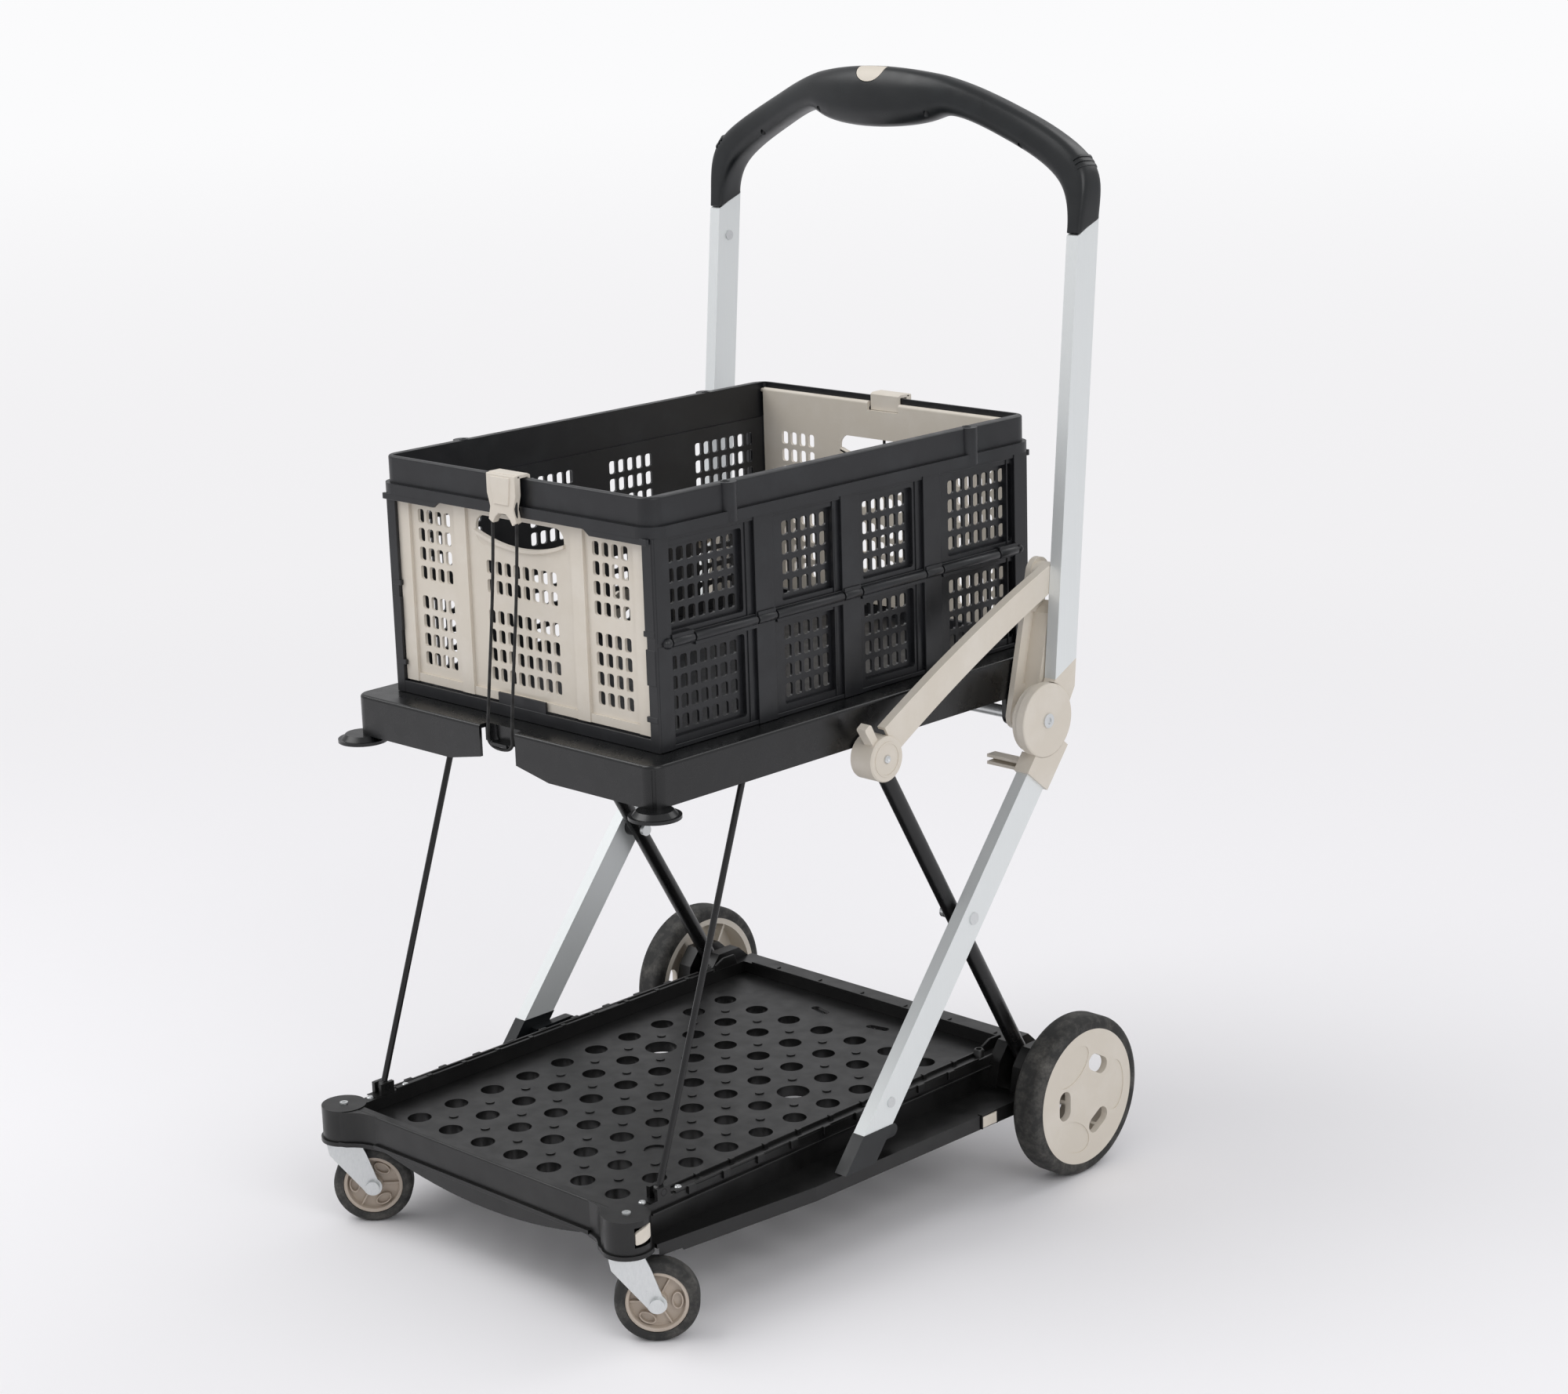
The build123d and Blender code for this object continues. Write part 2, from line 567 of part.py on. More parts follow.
def leg_pins():
    pins = []
    for side in (1, -1):
        pin = rod_x(PIN_RADIUS, RIM_X - 2, GUSSET_OUTER - 1, LEG_PIVOT)
        pins.append(pin if side > 0 else other_side(pin))
    return Compound(children=pins)


def leg_outline(low, high, grow=0.0):
    """Outline of the outer leg between two heights, cut level below and square above."""
    half = OUTER_LEG_DEPTH / 2 + grow
    top = on_leg(high)
    return [on_leg(low, -half), on_leg(low, half),
            along(top, OUTER_LEG_LEAN, 0, half), along(top, OUTER_LEG_LEAN, 0, -half)]


def outer_leg():
    leg = plate_x(leg_outline(CAP_TOP, OUTER_LEG_TOP), OUTER_LEG_X, OUTER_FACE)
    hollow = plate_x(leg_outline(CAP_TOP - 5, OUTER_LEG_TOP + 5, -LEG_WALL),
                     OUTER_LEG_X + LEG_WALL, OUTER_FACE - LEG_WALL)
    return leg - hollow - rod_x(PIN_RADIUS + FIT, OUTER_LEG_X - 1, OUTER_FACE + 1, CROSS_PIVOT)


def foot_cap():
    half = OUTER_LEG_DEPTH / 2 + 0.5
    low = APRON_TOP + FOOT_GAP
    outline = [on_leg(low, -half), on_leg(low, half), on_leg(CAP_TOP, half), on_leg(CAP_TOP, -half)]
    cap = plate_x(outline, OUTER_LEG_X - 0.5, OUTER_FACE + 0.5)
    inner = half - LEG_WALL - 1
    plug = [on_leg(CAP_TOP - 2, -inner), on_leg(CAP_TOP - 2, inner),
            on_leg(CAP_TOP + 14, inner), on_leg(CAP_TOP + 14, -inner)]
    cap += plate_x(plug, OUTER_LEG_X + LEG_WALL + FIT, OUTER_FACE - LEG_WALL - FIT)
    shoe = bar(on_leg(FOOT_PIVOT[1] - 1), FOOT_PIVOT, 2 * SHOE_RADIUS)
    cap += plate_x(shoe, OUTER_LEG_X - 10, OUTER_LEG_X)
    return cap + rod_x(SHOE_RADIUS, OUTER_LEG_X - 10, OUTER_LEG_X - SEAT, FOOT_PIVOT)


def knuckle():
    """Disc over the hinge, the collar that holds the leg, and the fold catch."""
    body = rod_x(KNUCKLE_RADIUS, KNUCKLE_FACE - KNUCKLE_DISC, KNUCKLE_FACE, KNUCKLE)
    body = fillet(body.edges().group_by(Axis.X)[-1], 2.0)
    end = on_leg(OUTER_LEG_TOP - 12)
    collar = plate_x(bar(end, along(on_leg(OUTER_LEG_TOP), OUTER_LEG_LEAN, 34), COLLAR_DEPTH_LEG),
                     OUTER_LEG_X - COLLAR_PROUD, KNUCKLE_FACE - 1.0)
    collar -= rod_x(EYE_RADIUS + 1.2, OUTER_LEG_X - 9, KNUCKLE_FACE - KNUCKLE_DISC, KNUCKLE)
    collar -= rod_x(KNUCKLE_RADIUS, KNUCKLE_FACE - KNUCKLE_DISC, KNUCKLE_FACE + 1, KNUCKLE)
    beyond = on_leg(KNUCKLE[1] + 60)
    collar -= plate_x([(beyond[0] - 200, KNUCKLE[1]), (beyond[0] + 200, KNUCKLE[1]),
                       (beyond[0] + 200, KNUCKLE[1] + 90), (beyond[0] - 200, KNUCKLE[1] + 90)],
                      OUTER_LEG_X - 9, KNUCKLE_FACE + 1)
    collar -= plate_x(leg_outline(CAP_TOP, OUTER_LEG_TOP, FIT), OUTER_LEG_X - FIT, OUTER_FACE + FIT)
    catch_y, catch_z = KNUCKLE[0] - 8, KNUCKLE[1] - 46
    half = CATCH_SIZE / 2
    catch = box(OUTER_LEG_X - CATCH_REACH, OUTER_LEG_X - 1.2, catch_y - half, catch_y + half,
                catch_z - half + 1, catch_z + half - 1)
    catch -= box(OUTER_LEG_X - CATCH_REACH - 1, OUTER_LEG_X - 8, catch_y - half - 1, catch_y + half - 3,
                 catch_z - 2, catch_z + 2)
    return body + collar + catch - rod_x(SHAFT_RADIUS + FIT / 2, 200, KNUCKLE_FACE - 2, KNUCKLE)


def knuckle_shaft():
    reach = KNUCKLE_FACE - 2.5
    return rod_x(SHAFT_RADIUS, -reach, reach, KNUCKLE)


def leg_screws():
    """Crossing rivets, foot screws and knuckle bolts, all facing outwards."""
    screws = []
    for side in (1, -1):
        group = [rod_x(PIN_RADIUS, LEG_INNER - 4, OUTER_FACE + 0.5, CROSS_PIVOT)
                 + rod_x(6.0, OUTER_FACE, OUTER_FACE + 1.2, CROSS_PIVOT)
                 + rod_x(6.0, LEG_INNER - 4.5, LEG_INNER - SEAT, CROSS_PIVOT)]
        group.append(rod_x(5.0, OUTER_FACE, OUTER_FACE + 1.2, on_leg(CAP_TOP + 22)))
        group.append(rod_x(7.0, KNUCKLE_FACE, KNUCKLE_FACE + 1.5, KNUCKLE)
                     - rod_x(3.2, KNUCKLE_FACE + 0.5, KNUCKLE_FACE + 3, KNUCKLE))
        screws += group if side > 0 else [other_side(s) for s in group]
    return Compound(children=screws)


# Stays and rods

def stay_arm():
    """Bowed channel from the drum to the handle: an outer web with a flange along its top."""
    y0, z0 = DRUM
    y1, z1 = STAY_TIP
    lift = STAY_DEPTH / 2
    dy, dz = y1 - y0, z1 - z0
    length = math.hypot(dy, dz)
    uy, uz = dy / length, dz / length

    def edge(aside, bow, start=0.0):
        rise = STAY_RISE * (1 - start / length) + aside
        first = (y0 + uy * start - uz * rise, z0 + uz * start + uy * rise)
        last = (y1 - uz * aside, z1 + uy * aside)
        middle = ((first[0] + last[0]) / 2 - uz * bow, (first[1] + last[1]) / 2 + uy * bow)
        return first, middle, last

    def band(outer, inner, start=0.0):
        top = edge(outer, STAY_BOW, start)
        low = edge(inner, STAY_BOW, start)
        lines = ThreePointArc(*top) + Line(top[2], low[2])
        lines += ThreePointArc(low[2], low[1], low[0]) + Line(low[0], top[0])
        return make_face(lines)

    inner_face = LEG_INNER + 3
    web = plate_x(band(lift, -lift, 12), STAY_OUTER - STAY_WEB, STAY_OUTER)
    top_flange = plate_x(band(lift, lift - STAY_FLANGE, 12), inner_face, STAY_OUTER)
    low_flange = plate_x(band(-lift + STAY_FLANGE, -lift, length * 0.45), inner_face, STAY_OUTER)
    tip = rod_x(lift, inner_face, STAY_OUTER, STAY_TIP)
    drum = rod_x(DRUM_RADIUS, STAY_OUTER - STAY_WEB, DRUM_FACE, DRUM)
    drum = fillet(drum.edges().group_by(Axis.X)[-1], 1.2)
    ring = rod_x(DRUM_RADIUS, DRUM_INNER, STAY_OUTER, DRUM) - rod_x(DRUM_RADIUS - DRUM_WALL, 150, 260, DRUM)
    # the leg swings through the open part of the ring, from below to beside the arm
    far = 60.0
    slope = math.atan2(dz, dy)
    turns = [slope + math.radians(t) for t in (12, -20, -60, -100, -120)]
    opening = [DRUM] + [(y0 + far * math.cos(t), z0 + far * math.sin(t)) for t in turns]
    ring -= plate_x(opening, DRUM_INNER - 1, STAY_OUTER - STAY_WEB)
    latch_start = (y0 - 12, z0 + 17)
    latch = plate_x(bar(latch_start, (y0 - 22, z0 + 33), 8.0), STAY_OUTER - 12, STAY_OUTER - 1)
    opening_cut = plate_x(opening, LEG_INNER - 1, STAY_OUTER - STAY_WEB)
    clear = rod_x(DRUM_RADIUS - DRUM_WALL, 150, STAY_OUTER - STAY_WEB, DRUM)
    return web + (top_flange - clear - opening_cut) + low_flange + tip + drum + ring + (latch - clear)


def front_rod():
    dy, dz = ROD_TIP[0] - ROD_FOOT[0], ROD_TIP[1] - ROD_FOOT[1]
    axis = Plane(origin=(ROD_X, *ROD_FOOT), z_dir=(0, dy, dz), x_dir=(1, 0, 0))
    rod = extrude(axis * Circle(ROD_RADIUS), amount=math.hypot(dy, dz))
    rod += rod_x(ROD_EYE_RADIUS, ROD_X - ROD_EYE_RADIUS / 2, ROD_X + ROD_EYE_RADIUS / 2, ROD_FOOT)
    rod += rod_x(ROD_RADIUS, ROD_X - 7, ROD_X + 7, ROD_FOOT)
    return rod + Pos(ROD_X, *ROD_TIP) * Sphere(ROD_RADIUS + 1.2)


# Upper tray and straps

def upper_tray():
    tray = box(-TRAY_HALF, TRAY_HALF, TRAY_FRONT, TRAY_REAR, TRAY_BOTTOM, TRAY_TOP)
    tray = fillet(tray.edges().filter_by(Axis.Z), TRAY_CORNER)
    tray = fillet(tray.faces().sort_by(Axis.Z)[-1].edges(), 3.0)
    tray -= box(-TRAY_HALF + TRAY_WALL, TRAY_HALF - TRAY_WALL, TRAY_FRONT + TRAY_WALL, TRAY_REAR - TRAY_WALL,
                TRAY_BOTTOM - 1, TRAY_TOP - TRAY_FLOOR)
    for y in (TRAY_FRONT, TRAY_REAR):
        outline = [(-NOTCH_SLOPE, TRAY_BOTTOM - 1), (-NOTCH_HALF, NOTCH_STEP), (-NOTCH_HALF, NOTCH_EDGE),
                   (NOTCH_HALF, NOTCH_EDGE), (NOTCH_HALF, NOTCH_STEP), (NOTCH_SLOPE, TRAY_BOTTOM - 1)]
        tray -= plate_y(outline, y - 8, y + 8)
        step = 1 if y < 0 else -1
        front, back = sorted((y - step, y + step * NOTCH_DEPTH))
        tray -= box(-NOTCH_HALF, NOTCH_HALF, front, back, NOTCH_EDGE - 1, TRAY_TOP + 1)
        front, back = sorted((y + step * NOTCH_DEPTH, y + step * (NOTCH_DEPTH + TRAY_WALL)))
        tray += box(-NOTCH_HALF - TRAY_WALL, NOTCH_HALF + TRAY_WALL, front, back, NOTCH_EDGE, TRAY_TOP - 1)
        # lip that the cord loop hooks under
        front, back = sorted((y + step, y + step * (NOTCH_DEPTH + 1)))
        tray += box(-CORD_LIP, CORD_LIP, front, back, NOTCH_EDGE, NOTCH_EDGE + TRAY_WALL)
    for side in (1, -1):
        ear_in = TRAY_HALF - EAR_THICK
        ear = rod_x(EAR_RADIUS, ear_in, TRAY_HALF, KNUCKLE)
        ear += box(ear_in, TRAY_HALF, KNUCKLE[0] - EAR_RADIUS, KNUCKLE[0] + EAR_RADIUS, KNUCKLE[1], TRAY_TOP - 4)
        foot_boss = rod_z(TRAY_FOOT_RADIUS - 8, TRAY_FOOT_X - 12, TRAY_FOOT_Y + 12, TRAY_BOTTOM, TRAY_TOP - 1)
        both = ear + foot_boss
        tray += both if side > 0 else other_side(both)
    return tray - rod_x(SHAFT_RADIUS + SEAT, -TRAY_HALF - 1, TRAY_HALF + 1, KNUCKLE)


def tray_feet():
    feet = []
    for side in (1, -1):
        foot = rod_z(TRAY_FOOT_RADIUS, side * TRAY_FOOT_X, TRAY_FOOT_Y, TRAY_FOOT_BOTTOM, TRAY_FOOT_BOTTOM + 3)
        foot += Pos(side * TRAY_FOOT_X, TRAY_FOOT_Y, TRAY_FOOT_BOTTOM + 3 + 2.2) * Cone(
            TRAY_FOOT_RADIUS - 3, TRAY_FOOT_RADIUS - 7, 4.5)
        feet.append(foot - box(-400, 400, -400, 400, TRAY_BOTTOM, TRAY_BOTTOM + 40))
    return Compound(children=feet)


def strap_clip(front):
    """Hook over the rim, with a tongue down the outside that holds both cords."""
    face = -1 if front else 1
    wall = CRATE_FRONT if front else CRATE_REAR
    out = wall + face * (RIM_FLANGE + SEAT)
    tip = wall - face * (RIM_END_WALL + SEAT)
    top = CRATE_TOP + SEAT
    points = [(out, RIM_LOW - 4), (out, top), (tip, top), (tip, top - CLIP_HOOK),
              (tip - face * CLIP_SHEET, top - CLIP_HOOK), (tip - face * CLIP_SHEET, top + CLIP_SHEET),
              (out + face * CLIP_SHEET * 0.5, top + CLIP_SHEET), (out + face * CLIP_SHEET * 2, top - 4),
              (out + face * CLIP_SHEET * 2.4, RIM_LOW - 4)]
    points = points if front else points[::-1]
    clip = plate_x(points, -CLIP_HALF, CLIP_HALF)
    for x in (-CORD_HALF, CORD_HALF):
        clip -= rod_z(CORD_RADIUS + FIT, x, cord_y(front), RIM_LOW - 5, RIM_LOW + 16)
    return clip


def cord_y(front):
    face = -1 if front else 1
    wall = CRATE_FRONT if front else CRATE_REAR
    return wall + face * (RIM_FLANGE + SEAT + CLIP_SHEET * 1.3)


def strap_cord(front):
    """One elastic loop: down from the clip, under the notched edge of the tray, and up again."""
    face = -1 if front else 1
    y = cord_y(front)
    wall = TRAY_FRONT if front else TRAY_REAR
    low_y = wall - face * (CORD_RADIUS + 2.5)
    low_z = NOTCH_EDGE - CORD_RADIUS - SEAT
    clip_z = RIM_LOW + 15
    bend = 5.0
    points = [(-CORD_HALF, y, clip_z), (-CORD_HALF, y, RIM_LOW - 30), (-CORD_HALF, low_y, low_z),
              (CORD_HALF, low_y, low_z), (CORD_HALF, y, RIM_LOW - 30), (CORD_HALF, y, clip_z)]
    path = FilletPolyline(*points, radius=bend)
    section = Plane(origin=points[0], z_dir=(0, 0, -1)) * Circle(CORD_RADIUS)
    return sweep(section, path)


# Folding crate

def crate_base():
    front, rear = CRATE_FRONT + END_BACK, CRATE_REAR - END_BACK
    base = box(-SIDE_FACE + SIDE_THICK + CRATE_GAP, SIDE_FACE - SIDE_THICK - CRATE_GAP, front + 8, rear - 8,
               TRAY_TOP, TRAY_TOP + 3)
    for y0, y1 in ((front, front + 8), (rear - 8, rear)):
        base += box(-SIDE_FACE + SIDE_THICK + CRATE_GAP, SIDE_FACE - SIDE_THICK - CRATE_GAP, y0, y1,
                    TRAY_TOP, END_LOW - CRATE_GAP)
    return base


def mesh(columns, rows, centre):
    """Rounded rectangular holes of a moulded grid, about a centre."""
    width, height = MESH_HOLE
    return [Pos(centre[0] + (c - (columns - 1) / 2) * MESH_PITCH[0], centre[1] + (r - (rows - 1) / 2) * MESH_PITCH[1])
            * RectangleRounded(width, height, width * 0.32)
            for c in range(columns) for r in range(rows)]


def crate_side(low, high):
    """Half of a long side: a skin with four windows of holes, in a frame of ribs."""
    front, rear = CRATE_FRONT + 4, CRATE_REAR - 4
    rows = 4
    middle = (low + high) / 2
    whole = Pos((front + rear) / 2, middle) * Rectangle(rear - front, high - low)
    pockets = []
    holes = []
    for columns, share in WINDOWS:
        y = front + (rear - front) * share
        pockets.append(Pos(y, middle) * RectangleRounded(columns * MESH_PITCH[0] + 8, rows * MESH_PITCH[1] + 4, 3))
        holes += mesh(columns, rows, (y, middle))
    inside = SIDE_FACE - SIDE_THICK
    skin = plate_x(pierced(whole, holes), inside, inside + SIDE_SKIN)
    return skin + plate_x(whole - pockets, inside, SIDE_FACE)


def hinge_pins():
    """Hinge barrels along the outside of the long sides, half way up."""
    pins = []
    for side in (1, -1):
        x = SIDE_FACE + HINGE_PIN_RADIUS - 0.5
        pin = rod_y(HINGE_PIN_RADIUS, CRATE_FRONT + 14, CRATE_REAR - 14, x, CRATE_SPLIT)
        pin += Pos(x, CRATE_FRONT + 14, CRATE_SPLIT) * Sphere(HINGE_PIN_RADIUS + 1.3)
        pin += Pos(x, CRATE_REAR - 14, CRATE_SPLIT) * Sphere(HINGE_PIN_RADIUS + 1.3)
        pin -= box(SIDE_FACE - 9, SIDE_FACE, CRATE_FRONT, CRATE_REAR, CRATE_SPLIT - 9, CRATE_SPLIT + 9)
        pins.append(pin if side > 0 else other_side(pin))
    return Compound(children=pins)


def crate_rim():
    rim = box(-CRATE_HALF, CRATE_HALF, CRATE_FRONT, CRATE_REAR, RIM_LOW, CRATE_TOP)
    rim = fillet(rim.edges().filter_by(Axis.Z), RIM_CORNER)
    rim = fillet(rim.faces().sort_by(Axis.Z)[-1].edges(), 2.0)
    flange = box(-CRATE_HALF - RIM_FLANGE, CRATE_HALF + RIM_FLANGE, CRATE_FRONT - RIM_FLANGE,
                 CRATE_REAR + RIM_FLANGE, RIM_LOW, RIM_FLANGE_TOP)
    flange = fillet(flange.edges().filter_by(Axis.Z), RIM_CORNER + RIM_FLANGE)
    rim += flange
    for side in (1, -1):
        for y in BOSS_PLACES:
            rim += rod_z(9.0, side * (CRATE_HALF - 3), y, RIM_LOW, CRATE_TOP)
    inside = CRATE_HALF - RIM_WALL
    hollow = box(-inside, inside, CRATE_FRONT + RIM_END_WALL, CRATE_REAR - RIM_END_WALL, RIM_LOW - 1, CRATE_TOP + 1)
    rim -= fillet(hollow.edges().filter_by(Axis.Z), RIM_INNER_CORNER)
    reach = inside + END_PIN_LENGTH + SEAT
    return rim - [rod_x(END_PIN_RADIUS + SEAT, -reach, reach, (y, END_PIVOT_Z))
                  for y in (END_PIVOT_Y, CRATE_FRONT + CRATE_REAR - END_PIVOT_Y)]


def crate_end():
    """End panel with raised bands, blocks of holes and a hand hole under the rim."""
    high = RIM_LOW - CRATE_GAP
    back = CRATE_FRONT + END_BACK
    skin_y = back + END_THICK - END_SKIN
    side_x = END_HALF - 48
    cuts = mesh(8, 2, (0, high - 62)) + mesh(8, 4, (0, END_LOW + 50))
    for x in (-side_x, side_x):
        for z in (high - 44, END_LOW + 50):
            cuts += mesh(4, 4, (x, z))
    cuts.append(Pos(0, high - 6 - HAND_HOLE[1] / 2) * RectangleRounded(*HAND_HOLE, 11))
    sheet = Pos(0, (END_LOW + END_PIVOT_Z) / 2) * Rectangle(2 * END_HALF, END_PIVOT_Z - END_LOW)
    panel = plate_y(pierced(sheet, cuts), skin_y, back + END_THICK)
    ribs = [box(x - 8, x + 8, back, skin_y + 1, END_LOW, END_PIVOT_Z)
            for x in (-END_HALF + 8, -78, 78, END_HALF - 8)]
    ribs.append(box(-END_HALF, END_HALF, back + 1, skin_y + 1, END_LOW, END_LOW + 8))
    # round top rail, which turns in the rim on a pin at each end
    ribs.append(rod_x(END_THICK / 2, -END_HALF, END_HALF, (END_PIVOT_Y, END_PIVOT_Z)))
    reach = CRATE_HALF - RIM_WALL + END_PIN_LENGTH
    pin = rod_x(END_PIN_RADIUS, END_HALF - 8, reach, (END_PIVOT_Y, END_PIVOT_Z))
    room = CLIP_HALF + CRATE_GAP
    notch = box(-room, room, back - 1, back + END_THICK + 1, CRATE_TOP - CLIP_HOOK - END_THICK, CRATE_TOP)
    return panel + (ribs + [pin, other_side(pin)]) - notch


# Handle

def tube_outline(low, high, grow=0.0):
    half = TUBE_DEPTH / 2 + grow
    return [on_tube(low, -half), on_tube(low + TUBE_SLANT, half),
            on_tube(high + TUBE_SLANT, half), on_tube(high, -half)]


def handle_tube():
    x1 = OUTER_LEG_X + OUTER_LEG_THICK
    tube = plate_x(tube_outline(TUBE_FOOT[1], TUBE_TOP), OUTER_LEG_X, x1)
    return tube - plate_x(tube_outline(TUBE_FOOT[1] - 9, TUBE_TOP + 9, -TUBE_WALL),
                          OUTER_LEG_X + TUBE_WALL, x1 - TUBE_WALL)


def handle_bracket():
    """Eye on the hinge, seat under the tube, and the lever on the inner side."""
    x1 = OUTER_LEG_X + OUTER_LEG_THICK
    half = TUBE_DEPTH / 2
    low = TUBE_FOOT[1]
    ky, kz = KNUCKLE
    seat = [(ky + 4, kz + 20), on_tube(low, -half), on_tube(low + TUBE_SLANT, half), on_tube(kz + 24, half),
            (ky + 30, kz), (ky + 12, kz - 8)]
    eye_x = OUTER_LEG_X + 0.2
    body = plate_x(seat, eye_x, x1)
    body -= rod_x(KNUCKLE_RADIUS + 0.8, eye_x + EYE_THICK, x1 + 9, KNUCKLE)
    body += rod_x(EYE_RADIUS, eye_x, eye_x + EYE_THICK, KNUCKLE)
    inner = half - TUBE_WALL - FIT
    plug = [on_tube(low - 1, -inner), on_tube(low + TUBE_SLANT - 1, inner),
            on_tube(low + TUBE_SLANT + 14, inner), on_tube(low + 14, -inner)]
    body += plate_x(plug, OUTER_LEG_X + TUBE_WALL + FIT, x1 - TUBE_WALL - FIT)
    lever_end = (STAY_TIP[0] + 1, STAY_TIP[1] + 2)
    lever = plate_x(bar(KNUCKLE, lever_end, LEVER_WIDTH), LEVER_X, LEVER_X + LEVER_THICK)
    lever += rod_x(LEVER_WIDTH / 2, LEVER_X, LEVER_X + LEVER_THICK, KNUCKLE)
    lever += rod_x(LEVER_WIDTH / 2, LEVER_X, LEVER_X + LEVER_THICK, lever_end)
    dy, dz = lever_end[0] - ky, lever_end[1] - kz
    groove = bar((ky + dy * 0.22, kz + dz * 0.22), (ky + dy * 0.72, kz + dz * 0.72), 8.0)
    lever -= plate_x(groove, LEVER_X + LEVER_THICK - 2.5, LEVER_X + LEVER_THICK + 1)
    # box rib that closes the lever's rear edge up to the stay arm
    lean = math.degrees(math.atan2(dy, dz))
    rib_low, rib_high = math.hypot(dy, dz) * 0.12, math.hypot(dy, dz) - STAY_DEPTH / 2 - LEVER_WIDTH / 2
    rib_in, rib_out = LEVER_WIDTH / 2 - LEVER_RIB, LEVER_WIDTH / 2
    rib = [along(KNUCKLE, lean, rib_low, rib_in), along(KNUCKLE, lean, rib_low, rib_out),
           along(KNUCKLE, lean, rib_high, rib_out), along(KNUCKLE, lean, rib_high - LEVER_RIB, rib_in)]
    lever += plate_x(rib, LEVER_X, OUTER_LEG_X - COLLAR_PROUD - SEAT)
    body += lever + rod_x(LEVER_HUB_RADIUS, LEVER_X, eye_x + 1, KNUCKLE)
    return body - rod_x(SHAFT_RADIUS + SEAT, LEVER_X - 1, x1 + 1, KNUCKLE)


def in_grip_frame(part):
    """Moves a part from the grip's own upright frame to its place on the leaning tubes."""
    return Pos(0, *on_tube(TUBE_TOP)) * Rot(-TUBE_LEAN, 0, 0) * part


def grip_blank():
    """Arched grip in its own frame: its front outline cut to a band that bows forward in plan."""
    top = GRIP_TOP - TUBE_TOP - GRIP_BOW * math.sin(math.radians(TUBE_LEAN))
    foot_out = OUTER_FACE + 1.2
    foot_in = OUTER_LEG_X - 1.4
    outer = [(GRIP_SHOULDER, 48), (GRIP_SHOULDER - 6, 70), (GRIP_SHOULDER - 26, 88), (GRIP_SHOULDER - 62, 107),
             (113, 137)]
    inner = [(108, 103), (146, 82), (184, 65), (205, 44), (214, 22), (foot_in, 0)]
    upper = Spline(*[(-x, z) for x, z in outer], (0, top), *reversed(outer))
    right = Line(outer[0], (foot_out, 0)) + Line((foot_out, 0), (foot_in, 0)) + Spline(*reversed(inner))
    left = Spline(*[(-x, z) for x, z in inner]) + Line((-foot_in, 0), (-foot_out, 0))
    left += Line((-foot_out, 0), (-outer[0][0], outer[0][1]))
    belly = Spline(inner[0], (72, 96), (0, GRIP_BELLY), (-72, 96), (-inner[0][0], inner[0][1]))
    slab = plate_y(make_face(upper + right + belly + left), -90, 90)
    half = GRIP_DEPTH / 2
    reach = GRIP_SHOULDER + 8
    shoulder = GRIP_SHOULDER - 32
    bow = -GRIP_BOW
    back = Spline((-reach, half), (-shoulder, half), (0, bow + half), (shoulder, half), (reach, half))
    face = Spline((reach, -half), (shoulder, -half), (0, bow - half), (-shoulder, -half), (-reach, -half))
    band = make_face(back + Line((reach, half), (reach, -half)) + face + Line((-reach, -half), (-reach, half)))
    return slab & plate_z(band, -10, top + 10)


def button_block(grow=0.0, behind=0.0):
    """Tongue-shaped block at the top middle of the grip's front, in the grip's own frame."""
    half = BUTTON_WIDTH / 2 + grow
    top = GRIP_TOP - TUBE_TOP
    low = top - BUTTON_DROP - grow
    outline = Line((-half, top + 9), (half, top + 9)) + Line((half, top + 9), (half, top - 6))
    outline += ThreePointArc((half, top - 6), (0, low), (-half, top - 6)) + Line((-half, top - 6), (-half, top + 9))
    front = -GRIP_BOW - GRIP_DEPTH / 2
    return plate_y(make_face(outline), front - 9, front + BUTTON_DEPTH + behind)


def grip():
    half = TUBE_DEPTH / 2
    low = on_tube(TUBE_TOP, -half)
    high = on_tube(TUBE_TOP + TUBE_SLANT, half)
    slope = (high[1] - low[1]) / (high[0] - low[0])
    under = [(low[0] - 30, low[1] - 30 * slope), (high[0] + 30, high[1] + 30 * slope),
             (high[0] + 30, low[1] - 60), (low[0] - 30, low[1] - 60)]
    body = in_grip_frame(grip_blank() - button_block(SEAT, PRESS + PRESS_ROOM))
    body -= plate_x(under, -GRIP_SHOULDER - 9, GRIP_SHOULDER + 9)
    inner = half - TUBE_WALL - FIT
    spigot = [on_tube(TUBE_TOP - 14, -inner), on_tube(TUBE_TOP + TUBE_SLANT - 14, inner),
              on_tube(TUBE_TOP + TUBE_SLANT + 9, inner), on_tube(TUBE_TOP + 9, -inner)]
    plug = plate_x(spigot, OUTER_LEG_X + TUBE_WALL + FIT, OUTER_FACE - TUBE_WALL - FIT)
    return body + plug + other_side(plug)


def release_button():
    return in_grip_frame(grip_blank() & button_block())


def handle_screws():
    screws = []
    for side in (1, -1):
        place = on_tube(TUBE_TOP - 28)
        head = rod_x(5.0, OUTER_LEG_X - 1.2, OUTER_LEG_X, place)
        screws.append(head if side > 0 else other_side(head))
    return Compound(children=screws)


